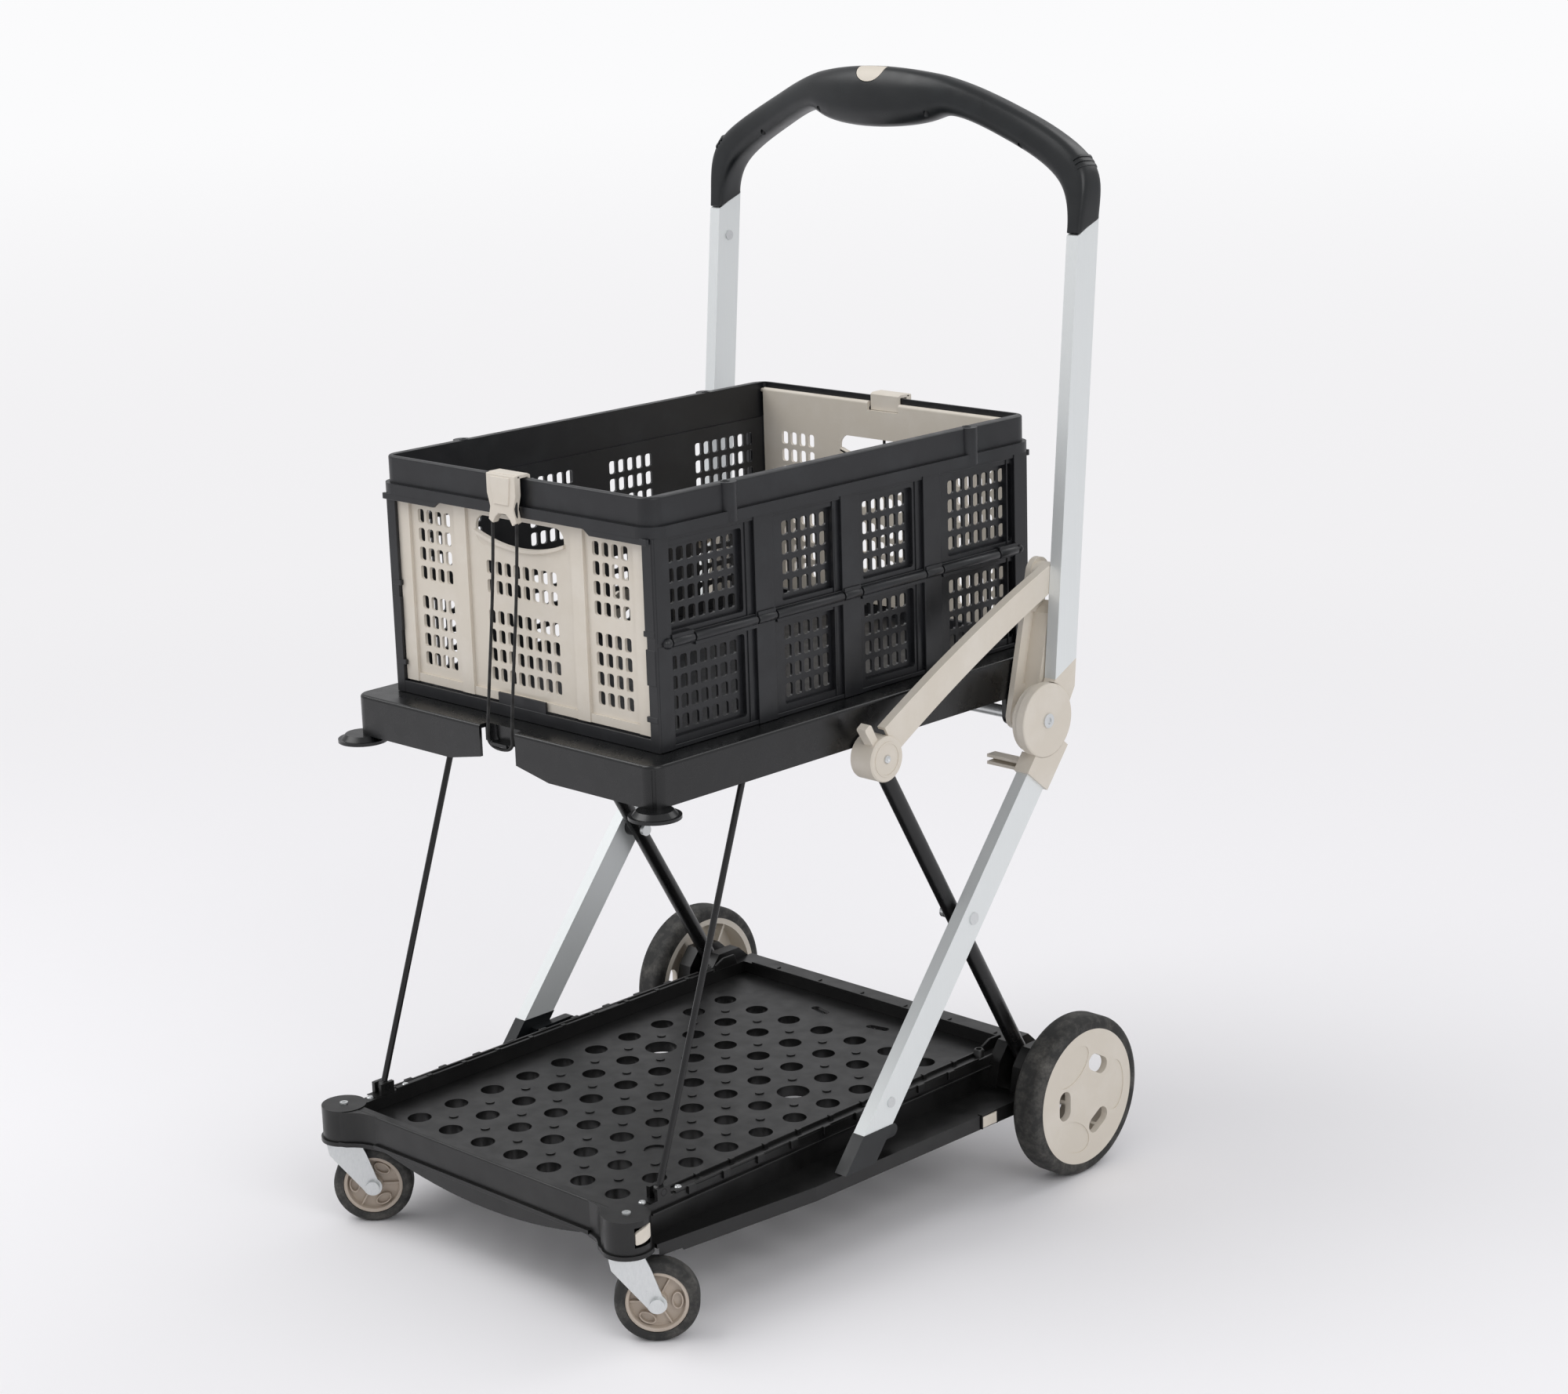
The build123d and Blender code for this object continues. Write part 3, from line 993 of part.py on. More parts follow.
def nodes():
    """Every node's name and solid, measured from the middle of the deck."""
    made = {
        "base_frame": base_frame(), "deck_panel": deck_panel(), "rod_clips": rod_clips(),
        "base_screws": base_screws(), "rear_axle": rear_axle(),
        "leg_rollers": leg_rollers(), "leg_pins": leg_pins(), "leg_screws": leg_screws(),
        "knuckle_shaft": knuckle_shaft(), "upper_tray": upper_tray(), "tray_feet": tray_feet(),
        "crate_base": crate_base(), "crate_hinge_pins": hinge_pins(), "crate_rim": crate_rim(),
        "grip": grip(), "release_button": release_button(), "handle_screws": handle_screws(),
    }
    for name, front in (("front", True), ("rear", False)):
        made["strap_clip_" + name] = strap_clip(front)
        made["strap_cord_" + name] = strap_cord(front)
    made["crate_end_front"] = crate_end()
    middle = (CRATE_FRONT + CRATE_REAR) / 2
    made["crate_end_rear"] = mirror(made["crate_end_front"], about=Plane.XZ.offset(-middle))
    pairs = {
        "rear_hub": rear_hub(), "rear_tyre": rear_tyre(), "inner_leg": inner_leg(), "outer_leg": outer_leg(),
        "foot_cap": foot_cap(), "knuckle": knuckle(), "stay_arm": stay_arm(), "front_rod": front_rod(),
        "crate_side_lower": crate_side(TRAY_TOP, CRATE_SPLIT - SPLIT_GAP / 2),
        "crate_side_upper": crate_side(CRATE_SPLIT + SPLIT_GAP / 2, RIM_LOW),
        "handle_tube": handle_tube(), "handle_bracket": handle_bracket(),
        "turret_button": turret_button(), "side_button": side_button(),
    }
    for name, part in pairs.items():
        made[name + "_right"] = part
        made[name + "_left"] = other_side(part)
    casters = {"caster_fork": caster_fork(), "caster_bolt": caster_bolt(),
               "caster_hub": caster_hub(), "caster_tyre": caster_tyre()}
    for name, part in casters.items():
        made[name + "_right"] = place_caster(part, 1)
        made[name + "_left"] = place_caster(part, -1)
    return made


def main():
    os.makedirs("parts", exist_ok=True)
    for name, part in nodes().items():
        export_step(Pos(0, SHIFT_Y, 0) * part, os.path.join("parts", name + ".step"))


if __name__ == "__main__":
    main()
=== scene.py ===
import bpy
import bmesh
import json
import math
from mathutils import Matrix, Vector


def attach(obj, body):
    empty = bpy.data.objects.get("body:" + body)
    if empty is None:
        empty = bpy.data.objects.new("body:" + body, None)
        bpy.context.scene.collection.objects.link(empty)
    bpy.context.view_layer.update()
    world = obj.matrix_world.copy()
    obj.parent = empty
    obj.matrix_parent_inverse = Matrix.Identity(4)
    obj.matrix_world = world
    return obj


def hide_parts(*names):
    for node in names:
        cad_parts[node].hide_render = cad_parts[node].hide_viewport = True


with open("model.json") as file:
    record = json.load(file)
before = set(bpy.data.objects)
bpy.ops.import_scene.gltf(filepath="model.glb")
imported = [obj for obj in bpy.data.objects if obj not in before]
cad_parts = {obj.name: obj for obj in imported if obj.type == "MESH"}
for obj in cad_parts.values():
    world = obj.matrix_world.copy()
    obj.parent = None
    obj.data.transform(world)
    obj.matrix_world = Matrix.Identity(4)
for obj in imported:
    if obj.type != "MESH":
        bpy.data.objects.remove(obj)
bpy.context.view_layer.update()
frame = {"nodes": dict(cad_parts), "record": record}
nodes = frame["nodes"]
MM = 0.001
DECK_Y = -47.75            # middle of the deck's hole pattern, from the cart's origin
SHARP = math.radians(38)   # edges steeper than this stay sharp
SIDES = (("right", 1), ("left", -1))
CRATE_ENDS = (("front", -1, -171.0), ("rear", 1, 330.0))   # name, way it faces along Y, outer wall
TURRET = (196.7, -251.0)   # axis of the right caster turret, as (x, y)
DRUM = (63.5, 466.0)       # axis of the stay arms' drums, as (y, z)
STAY_TIP = (305.0, 592.0)


def at(x, y, z):
    """A place in millimetres, measured from the middle of the deck's hole pattern, in the cart's frame."""
    return Vector((x, y + DECK_Y, z)) * MM


# Materials

def linear(colour):
    """An sRGB hex colour as linear RGBA."""
    parts = [int(colour[i:i + 2], 16) / 255 for i in (1, 3, 5)]
    return [p / 12.92 if p <= 0.04045 else ((p + 0.055) / 1.055) ** 2.4 for p in parts] + [1.0]


def add(tree, kind, sockets, **settings):
    """Adds a node, sets it, and fills its sockets with values or links."""
    node = tree.nodes.new(kind)
    for key, value in settings.items():
        setattr(node, key, value)
    for key, value in sockets.items():
        if isinstance(value, bpy.types.NodeSocket):
            tree.links.new(value, node.inputs[key])
        else:
            node.inputs[key].default_value = value
    return node


def per_mm(size):
    """Texture scale that gives features of a size in millimetres."""
    return 1.0 / (size * MM)


def start(name):
    """A new material, its node tree, its shader and the place of a point on the object."""
    material = bpy.data.materials.new(name)
    material.use_nodes = True
    tree = material.node_tree
    place = add(tree, "ShaderNodeTexCoord", {}).outputs["Object"]
    return material, tree, tree.nodes["Principled BSDF"], place


def moulded(name, colour, rubbed, rough, grain, depth, ior=1.5):
    """Injection-moulded plastic: a spark-eroded grain that breaks up the highlight, a slow drift in
    gloss from the flow of the melt, and a faint dusty rub that lifts the colour in patches."""
    material, tree, shader, place = start(name)
    patches = add(tree, "ShaderNodeTexNoise", {"Vector": place, "Scale": per_mm(55), "Detail": 5.0,
                                               "Roughness": 0.62})
    rub = add(tree, "ShaderNodeMapRange", {"Value": patches.outputs["Fac"], "From Min": 0.48,
                                           "From Max": 0.72})
    blend = add(tree, "ShaderNodeMix", {"Factor": rub.outputs["Result"], 6: linear(colour),
                                        7: linear(rubbed)}, data_type="RGBA")
    flow = add(tree, "ShaderNodeTexNoise", {"Vector": place, "Scale": per_mm(18), "Detail": 3.0})
    gloss = add(tree, "ShaderNodeMapRange", {"Value": flow.outputs["Fac"], "From Min": 0.3, "From Max": 0.7,
                                             "To Min": rough - 0.05, "To Max": rough + 0.07})
    pits = add(tree, "ShaderNodeTexNoise", {"Vector": place, "Scale": per_mm(grain), "Detail": 2.0})
    bump = add(tree, "ShaderNodeBump", {"Height": pits.outputs["Fac"], "Distance": depth * MM,
                                        "Strength": 0.6})
    tree.links.new(blend.outputs[2], shader.inputs["Base Color"])
    tree.links.new(gloss.outputs["Result"], shader.inputs["Roughness"])
    tree.links.new(bump.outputs["Normal"], shader.inputs["Normal"])
    shader.inputs["IOR"].default_value = ior
    return material


def drawn_metal(name, colour, dark, rough, along, width, length, metallic):
    """Drawn or plated metal: fine lines along the way it was drawn, and a satin sheen that spreads
    across them. along is the direction of the lines as (y, z) of a unit vector."""
    material, tree, shader, place = start(name)
    turn = math.atan2(along[0], along[1])
    stretch = add(tree, "ShaderNodeMapping", {"Vector": place, "Rotation": (turn, 0.0, 0.0),
                                              "Scale": (1.0, 1.0, width / length)})
    lines = add(tree, "ShaderNodeTexNoise", {"Vector": stretch.outputs["Vector"], "Scale": per_mm(width),
                                             "Detail": 4.0, "Roughness": 0.7})
    tone = add(tree, "ShaderNodeMix", {"Factor": lines.outputs["Fac"], 6: linear(dark), 7: linear(colour)},
               data_type="RGBA")
    gloss = add(tree, "ShaderNodeMapRange", {"Value": lines.outputs["Fac"], "From Min": 0.3, "From Max": 0.7,
                                             "To Min": rough - 0.05, "To Max": rough + 0.06})
    bump = add(tree, "ShaderNodeBump", {"Height": lines.outputs["Fac"], "Distance": 0.02 * MM,
                                        "Strength": 0.35})
    tree.links.new(tone.outputs[2], shader.inputs["Base Color"])
    tree.links.new(gloss.outputs["Result"], shader.inputs["Roughness"])
    tree.links.new(bump.outputs["Normal"], shader.inputs["Normal"])
    shader.inputs["Metallic"].default_value = metallic
    return material


def vulcanised_rubber():
    """Tyre rubber: near-black and dull, with pale floor dust rubbed into it in streaks and specks."""
    material, tree, shader, place = start("vulcanised_rubber")
    cloud = add(tree, "ShaderNodeTexNoise", {"Vector": place, "Scale": per_mm(22), "Detail": 8.0,
                                             "Roughness": 0.7})
    dust = add(tree, "ShaderNodeMapRange", {"Value": cloud.outputs["Fac"], "From Min": 0.45,
                                            "From Max": 0.75})
    specks = add(tree, "ShaderNodeTexNoise", {"Vector": place, "Scale": per_mm(2.5), "Detail": 3.0})
    both = add(tree, "ShaderNodeMath", {0: dust.outputs["Result"], 1: specks.outputs["Fac"]},
               operation="MULTIPLY")
    tone = add(tree, "ShaderNodeMix", {"Factor": both.outputs["Value"], 6: linear("#232322"),
                                       7: linear("#77746E")}, data_type="RGBA")
    bump = add(tree, "ShaderNodeBump", {"Height": specks.outputs["Fac"], "Distance": 0.15 * MM,
                                        "Strength": 0.5})
    tree.links.new(tone.outputs[2], shader.inputs["Base Color"])
    tree.links.new(bump.outputs["Normal"], shader.inputs["Normal"])
    shader.inputs["Roughness"].default_value = 0.72
    shader.inputs["IOR"].default_value = 1.52
    return material


def braided_elastic():
    """Braided polyester over rubber: crossing yarns about a millimetre wide in a herringbone, drawn a little
    coarser than real so that they show. Their crests are painted lighter and the gaps between them darker, a
    painted highlight and painted shade on yarn of one colour."""
    material, tree, shader, place = start("braided_elastic")
    yarns = []
    for turn in (0.7, -0.7):
        lay = add(tree, "ShaderNodeMapping", {"Vector": place, "Rotation": (turn, turn, 0.0)})
        wave = add(tree, "ShaderNodeTexWave", {"Vector": lay.outputs["Vector"], "Scale": per_mm(1.4) / 20},
                   bands_direction="Z")
        yarns.append(wave.outputs["Fac"])
    weave = add(tree, "ShaderNodeMath", {0: yarns[0], 1: yarns[1]}, operation="MAXIMUM")
    # painted highlight on the yarns' crests and painted shade in the gaps between them
    tone = add(tree, "ShaderNodeMix", {"Factor": weave.outputs["Value"], 6: linear("#0B0B0B"),
                                       7: linear("#242424")}, data_type="RGBA")
    bump = add(tree, "ShaderNodeBump", {"Height": weave.outputs["Value"], "Distance": 0.2 * MM})
    tree.links.new(tone.outputs[2], shader.inputs["Base Color"])
    tree.links.new(bump.outputs["Normal"], shader.inputs["Normal"])
    shader.inputs["Roughness"].default_value = 0.85
    shader.inputs["Sheen Weight"].default_value = 0.15
    return material


LEAN = math.radians(5.13)
LEG_LEAN = math.radians(39.35)
base_plastic = moulded("polypropylene_black_base", "#0D0D0D", "#181817", 0.34, 0.9, 0.02)
tray_plastic = moulded("abs_gloss_black_tray", "#0C0D0E", "#111214", 0.27, 1.4, 0.004)
crate_plastic = moulded("polypropylene_charcoal_crate", "#17181B", "#202225", 0.36, 0.8, 0.02)
grip_plastic = moulded("nylon_charcoal_grip", "#121517", "#1A1E20", 0.32, 0.7, 0.02)
greige_plastic = moulded("abs_greige", "#D6CEC1", "#DCD5CA", 0.44, 0.7, 0.02)
taupe_plastic = moulded("nylon_taupe_hub", "#B9AC9E", "#C2B7AB", 0.48, 0.7, 0.02)
tube_aluminium = drawn_metal("anodised_aluminium_handle", "#EDF0F0", "#E1E5E5", 0.46,
                             (math.sin(LEAN), math.cos(LEAN)), 0.5, 60, 0.4)
leg_aluminium = drawn_metal("anodised_aluminium_leg", "#EDF0F0", "#E1E5E5", 0.46,
                            (math.sin(LEG_LEAN), math.cos(LEG_LEAN)), 0.5, 60, 0.4)
zinc = drawn_metal("zinc_plated_steel", "#E4E6E6", "#C9CCCD", 0.32, (0.0, 1.0), 1.6, 5, 0.75)
coated_steel = moulded("powder_coated_steel", "#0E0E0F", "#131314", 0.3, 1.1, 0.02)
rubber = vulcanised_rubber()
elastic = braided_elastic()

finishes = {
    "black_base_plastic": base_plastic, "gloss_black_plastic": tray_plastic,
    "charcoal_crate_plastic": crate_plastic, "charcoal_grip_plastic": grip_plastic,
    "greige_plastic": greige_plastic, "taupe_plastic": taupe_plastic, "rubber_tyre": rubber,
    "black_coated_steel": coated_steel, "zinc_plated_steel": zinc, "elastic_cord": elastic,
    "anodised_aluminium": leg_aluminium,
}

for entry in frame["record"]["subparts"]:
    node = nodes[entry["node"]]
    finish = finishes[entry["material_slot"]]
    if entry["node"].startswith("handle_tube"):
        finish = tube_aluminium
    node.data.materials.clear()
    node.data.materials.append(finish)

# Building meshes: every outline is in millimetres, and a place function puts it on the cart

def across(a, b, t):
    """Outlines of (y, z) that are drawn out along X."""
    return at(t, a, b)


def lengthwise(a, b, t):
    """Outlines of (x, z) that are drawn out along Y."""
    return at(a, t, b)


def upright(a, b, t):
    """Outlines of (x, y) that are drawn out along Z."""
    return at(a, b, t)


def skin(bm, rings, looped=False):
    """Joins rings of points into one closed surface, capped at both ends unless it loops round."""
    rows = [[bm.verts.new(p) for p in ring] for ring in rings]
    count = len(rows[0])
    for low, high in zip(rows, rows[1:] + rows[:1] if looped else rows[1:]):
        for i in range(count):
            j = (i + 1) % count
            bm.faces.new((low[i], low[j], high[j], high[i]))
    if not looped:
        bm.faces.new(rows[0])
        bm.faces.new(rows[-1])


def slab(bm, outline, low, high, place):
    """A plate: a closed outline drawn out between two values."""
    skin(bm, [[place(a, b, t) for a, b in outline] for t in (low, high)])


def block(bm, x, y, z):
    """A straight block between pairs of values along the three axes."""
    slab(bm, [(x[0], y[0]), (x[1], y[0]), (x[1], y[1]), (x[0], y[1])], z[0], z[1], upright)


def ring_plate(bm, outer, inner, low, high, place):
    """A plate with a hole, from two outlines of as many points."""
    loops = [(outer, low), (outer, high), (inner, high), (inner, low)]
    skin(bm, [[place(a, b, t) for a, b in outline] for outline, t in loops], looped=True)


def turned(bm, profile, place, looped=False, steps=48):
    """A lathe form from pairs of radius and distance along its axis."""
    turns = [2 * math.pi * i / steps for i in range(steps)]
    skin(bm, [[place(r * math.cos(t), r * math.sin(t), d) for t in turns] for r, d in profile], looped)


def ellipse(centre, wide, high, turn=0.0, steps=32):
    """A closed oval outline about a centre, turned by an angle."""
    points = []
    for i in range(steps):
        t = 2 * math.pi * i / steps
        a, b = wide * math.cos(t), high * math.sin(t)
        points.append((centre[0] + a * math.cos(turn) - b * math.sin(turn),
                       centre[1] + a * math.sin(turn) + b * math.cos(turn)))
    return points


def piece(name, body, finish, bm, soft=0.0, replaced=()):
    """Makes an object of a built mesh, with softened edges and its finish, on a body of the cart."""
    bmesh.ops.recalc_face_normals(bm, faces=bm.faces)
    shape = bpy.data.meshes.new(name)
    bm.to_mesh(shape)
    bm.free()
    shape.materials.append(finish)
    shape.shade_smooth()
    shape.set_sharp_from_angle(angle=SHARP)
    obj = bpy.data.objects.new(name, shape)
    bpy.context.collection.objects.link(obj)
    if soft:
        soften(obj, soft)
    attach(obj, body)
    if replaced:
        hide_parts(*replaced)
    return obj


def soften(obj, width):
    """Soft edges, as the mould or the bending tool leaves them."""
    soft = obj.modifiers.new("soft_edges", "BEVEL")
    soft.width = width * MM
    soft.segments = 2
    soft.limit_method = "ANGLE"
    soft.angle_limit = math.radians(50)
    soft.harden_normals = True


def settled(obj):
    """Replaces an object's mesh by what its modifiers make of it."""
    shape = bpy.data.meshes.new_from_object(obj.evaluated_get(bpy.context.evaluated_depsgraph_get()))
    obj.modifiers.clear()
    obj.data = shape


# Handle grip

GRIP_FOOT = (342.8, 912.0)   # middle of the tubes' tops
GRIP_BOW = 36.0
GRIP_HALF_DEPTH = 15.5
GRIP_BOW_SPAN = 218.0        # the bow fades out this far from the middle
# points of the upper and of the lower line, from the right foot to the middle
GRIP_PAIRS = [((242.4, 0), (226.6, 0)), ((242.4, 0.6), (226.6, 0.6)), ((243.4, 14), (226.2, 9)),
              ((245.8, 40), (224, 22)), ((243, 60), (219, 36)), ((228, 79), (209, 50)),
              ((190, 100), (184, 67)), ((150, 117), (147, 84)), ((113, 132), (110, 100)),
              ((84, 140), (84, 105)), ((74, 142), (74, 98)), ((45, 146), (45, 91.5)),
              ((0, 148.6), (0, 88.8))]
GRIP_SLANTS = [15.0, 15.0, 9.0, 4.0, 1.5] + [0.0] * 8   # how far the back of each section stands higher
TONGUE_HALF = 17.0
TONGUE_DROP = 12.5
TONGUE_LEVEL = 145.0
TONGUE_TOP = 160.0
POCKETS = ((70, -40, 101), (-70, -40, 101), (168, -16, 76), (-168, -16, 76))   # screws under the grip
POCKET_RADIUS = 2.6
RIDGE = ((-0.06, -0.03), (-0.04, 0.03), (0.04, 0.03), (0.06, -0.03))   # step along the grip, growth


def on_grip(x, y, z):
    """A place in the grip's own frame, which leans back with the tubes."""
    return at(x, GRIP_FOOT[0] + y * math.cos(LEAN) + z * math.sin(LEAN),
              GRIP_FOOT[1] + z * math.cos(LEAN) - y * math.sin(LEAN))


def grip_section(outer, inner, share, slant, grow=0.0, first=0.0, last=2.0, steps=36):
    """A rounded section of the grip between its upper and its lower line; share runs from foot to middle."""
    power = 2.5 + 7.0 * (1 - share) ** 5
    mid = ((outer[0] + inner[0]) / 2, (outer[1] + inner[1]) / 2)
    reach = ((outer[0] - inner[0]) / 2, (outer[1] - inner[1]) / 2)
    bow = -GRIP_BOW * (0.5 + 0.5 * math.cos(math.pi * min(abs(mid[0]) / GRIP_BOW_SPAN, 1.0)))
    points = []
    for i in range(steps):
        t = math.pi * (first + (last - first) * i / steps)
        c, s = math.cos(t), math.sin(t)
        a = math.copysign(abs(c) ** (2 / power), c) * (1 + grow)
        b = math.copysign(abs(s) ** (2 / power), s) * (1 + grow) * GRIP_HALF_DEPTH
        points.append(on_grip(mid[0] + a * reach[0], bow + b,
                              mid[1] + a * reach[1] + slant * (b / GRIP_HALF_DEPTH + 1) / 2))
    return points


def grip_pieces():
    """The nylon grip, drawn as one loft from foot to foot, its release button and its thumb ridges."""
    count = len(GRIP_PAIRS) - 1
    right, left = ([grip_section((side * o[0], o[1]), (side * i[0], i[1]), k / count, GRIP_SLANTS[k])
                    for k, (o, i) in enumerate(GRIP_PAIRS)] for side in (1, -1))
    bm = bmesh.new()
    skin(bm, right + left[-2::-1])
    grip = piece("grip_shell", "handle", grip_plastic, bm, replaced=["grip"])
    rounding = grip.modifiers.new("rounding", "SUBSURF")
    rounding.levels = rounding.render_levels = 2
    settled(grip)
    button = bpy.data.objects.new("release_tongue", grip.data.copy())
    bpy.context.collection.objects.link(button)
    for obj, grow, depth, cut in ((grip, 0.7, 18.0, "DIFFERENCE"), (button, 0.0, 14.0, "INTERSECT")):
        bm = bmesh.new()
        half, drop = TONGUE_HALF + grow, TONGUE_DROP + grow
        tongue = [(half, TONGUE_TOP)] + [(half * math.cos(t), TONGUE_LEVEL - drop * math.sin(t))
                                         for t in (math.pi * k / 20 for k in range(21))]
        tongue.append((-half, TONGUE_TOP))
        face = -GRIP_BOW - GRIP_HALF_DEPTH
        slab(bm, tongue, face - 9, face + depth, lambda a, b, t: on_grip(a, t, b))
        if obj is grip:
            for x, y, z in POCKETS:
                turned(bm, [(POCKET_RADIUS, z - 9), (POCKET_RADIUS, z + 6)],
                       lambda a, b, t: on_grip(x + a, y + b, t), steps=20)
        bmesh.ops.recalc_face_normals(bm, faces=bm.faces)
        shape = bpy.data.meshes.new("tongue")
        bm.to_mesh(shape)
        bm.free()
        cutter = bpy.data.objects.new("tongue", shape)
        bpy.context.collection.objects.link(cutter)
        part = obj.modifiers.new("tongue", "BOOLEAN")
        part.operation = cut
        part.object = cutter
        settled(obj)
        bpy.data.objects.remove(cutter)
        obj.data.set_sharp_from_angle(angle=SHARP)
    button.data.materials.clear()
    button.data.materials.append(greige_plastic)
    soften(button, 0.7)
    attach(button, "release_button")
    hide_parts("release_button")
    bm = bmesh.new()
    for side in (1, -1):
        for share in (0.25, 0.45, 0.65):
            (o0, i0), (o1, i1) = GRIP_PAIRS[4], GRIP_PAIRS[5]
            rings = []
            for step, grow in RIDGE:
                s = share + step
                o, i = ([side * (p[0] + (q[0] - p[0]) * s), p[1] + (q[1] - p[1]) * s]
                        for p, q in ((o0, o1), (i0, i1)))
                rings.append(grip_section(o, i, 0.35, 0.0, grow, -0.33, 0.36, 14))
            skin(bm, rings)
    piece("grip_ridges", "handle", grip_plastic, bm)


# Straps

STRAP_LOW_Y = {"front": -198.0, "rear": 338.0}
STRAP_OUT = 8.2            # the cord runs this far outside the crate's wall
CLIP_HALF = 19


def straps():
    """At each end of the crate an elastic loop, hooked under the tray, and the clip on the rim."""
    for name, face, wall in CRATE_ENDS:
        y, low_y = wall + face * STRAP_OUT, STRAP_LOW_Y[name]
        route = [(16, y, 719), (16, y, 674), (16, low_y - 0.5, 514), (17, low_y, 494)]
        route += [(-a, b, c) for a, b, c in reversed(route)]
        curve = bpy.data.curves.new("strap_" + name, "CURVE")
        curve.dimensions = "3D"
        curve.bevel_depth = 1.5 * MM
        curve.bevel_resolution = 4
        line = curve.splines.new("NURBS")
        line.points.add(len(route) - 1)
        for point, place in zip(line.points, route):
            point.co = (*at(*place), 1.0)
        line.order_u = 3
        line.use_endpoint_u = True
        line.resolution_u = 12
        curve.materials.append(elastic)
        cord = bpy.data.objects.new("strap_" + name, curve)
        bpy.context.collection.objects.link(cord)
        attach(cord, "upper_tray")
        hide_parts("strap_cord_" + name)
        at(*route[0])
        bm = bmesh.new()
        out = wall + face * 4.3
        half = [(CLIP_HALF, 742), (CLIP_HALF, 724), (15.5, 712), (18.5, 700), (13, 697), (9.5, 703),
                (5, 706.5)]
        tongue = half + [(-x, z) for x, z in reversed(half)]
        slab(bm, tongue, out, out + face * 7.0, lengthwise)
        slab(bm, [(-13, 740), (13, 740), (10, 715), (-10, 715)], out + face * 6.0, out + face * 8.2,
             lengthwise)
        tip = wall - face * 4.8
        hook = [(out + face * 4.0, 739.3), (tip, 739.3), (tip, 725.0), (tip - face * 3.0, 725.0),
                (tip - face * 3.0, 741.3), (tip, 742.8), (out + face * 4.0, 742.8)]
        slab(bm, hook, -CLIP_HALF, CLIP_HALF, across)
        piece("strap_hook_" + name, "upper_tray", greige_plastic, bm, 0.8, ["strap_clip_" + name])


# Crate

WINDOW_POSTS = [(-167, -150), (-46, -22), (66, 90), (178, 202), (309, 326)]
SIDE_SKIN = 173.5          # the raised posts and rails start just inside the crate's sides
CRATE_LOW = 514.2
CRATE_HIGH = 703.9
HALVES = ((514.3, 608.6), (611.4, CRATE_HIGH))   # lower and upper half of a side, from bottom to top
SEAM = 610.0
HINGE_X = 177.0
HINGE_ENDS = [-152, -124, -46, -22, 66, 90, 178, 202, 284, 312]   # where its barrels meet
# bottom, top and inner edge of the tabs that lock the end panels into the corners
CORNER_TABS = ((541, 546, 162.6), (574, 606, 164.6), (617, 622, 162.6), (622, CRATE_HIGH, 164.6))
SOCKETS_Y = (-75.7, 245.0)
LIP_HALF = 60
LIP_LOW = 671.5
LIP_SAG = 11.0


def inward(face, wall, near, far):
    """Two depths behind a crate end's outer wall, as values along Y from low to high."""
    return tuple(sorted((wall - face * near, wall - face * far)))


def crate_frames():
    """Raised posts and rails that make deep pockets of the windows, and the hinge along the middle seam."""
    for name, side in SIDES:
        bm = bmesh.new()
        face, rail = (side * SIDE_SKIN, side * 177.4), (side * SIDE_SKIN, side * 176.4)
        for low, high in HALVES:
            for post in WINDOW_POSTS:
                block(bm, face, post, (low, high))
            for y0, y1 in zip([p[1] for p in WINDOW_POSTS], [p[0] for p in WINDOW_POSTS[1:]]):
                block(bm, rail, (y0 - 1, y1 + 1), (high - 4.5, high))
                block(bm, rail, (y0 - 1, y1 + 1), (low, low + 4.0))
                block(bm, (side * 169.0, side * 175.2), (y1 - 9, y1 - 7.5), (low + 3, high - 3))
        piece("crate_posts_" + name, "upper_tray", crate_plastic, bm, 0.6)
        bm = bmesh.new()
        x, z = side * HINGE_X, SEAM
        for k, (y0, y1) in enumerate(zip(HINGE_ENDS, HINGE_ENDS[1:])):
            y0, y1 = y0 + 0.9, y1 - 0.9
            turned(bm, [(2.6, y0), (4.0, y0), (4.5, y0 + 0.8), (4.5, y1 - 0.8), (4.0, y1), (2.6, y1)],
                   lambda a, b, t: at(x + a, t, z + b), steps=24)
            low, high = (z + 0.5, z + 7.0) if k % 2 == 0 else (z - 7.0, z - 0.5)
            block(bm, (side * 173.6, side * 179.0), (y0, y1), (low, high))
        dome = [(0.2, -160.2), (2.6, -159.6), (4.6, -157.4), (5.2, -155.0), (4.4, -152.6), (2.4, -151.2)]
        turned(bm, dome, lambda a, b, t: at(x + a, t, z + b), steps=24)
        piece("crate_hinge_" + name, "upper_tray", crate_plastic, bm, 0.4)


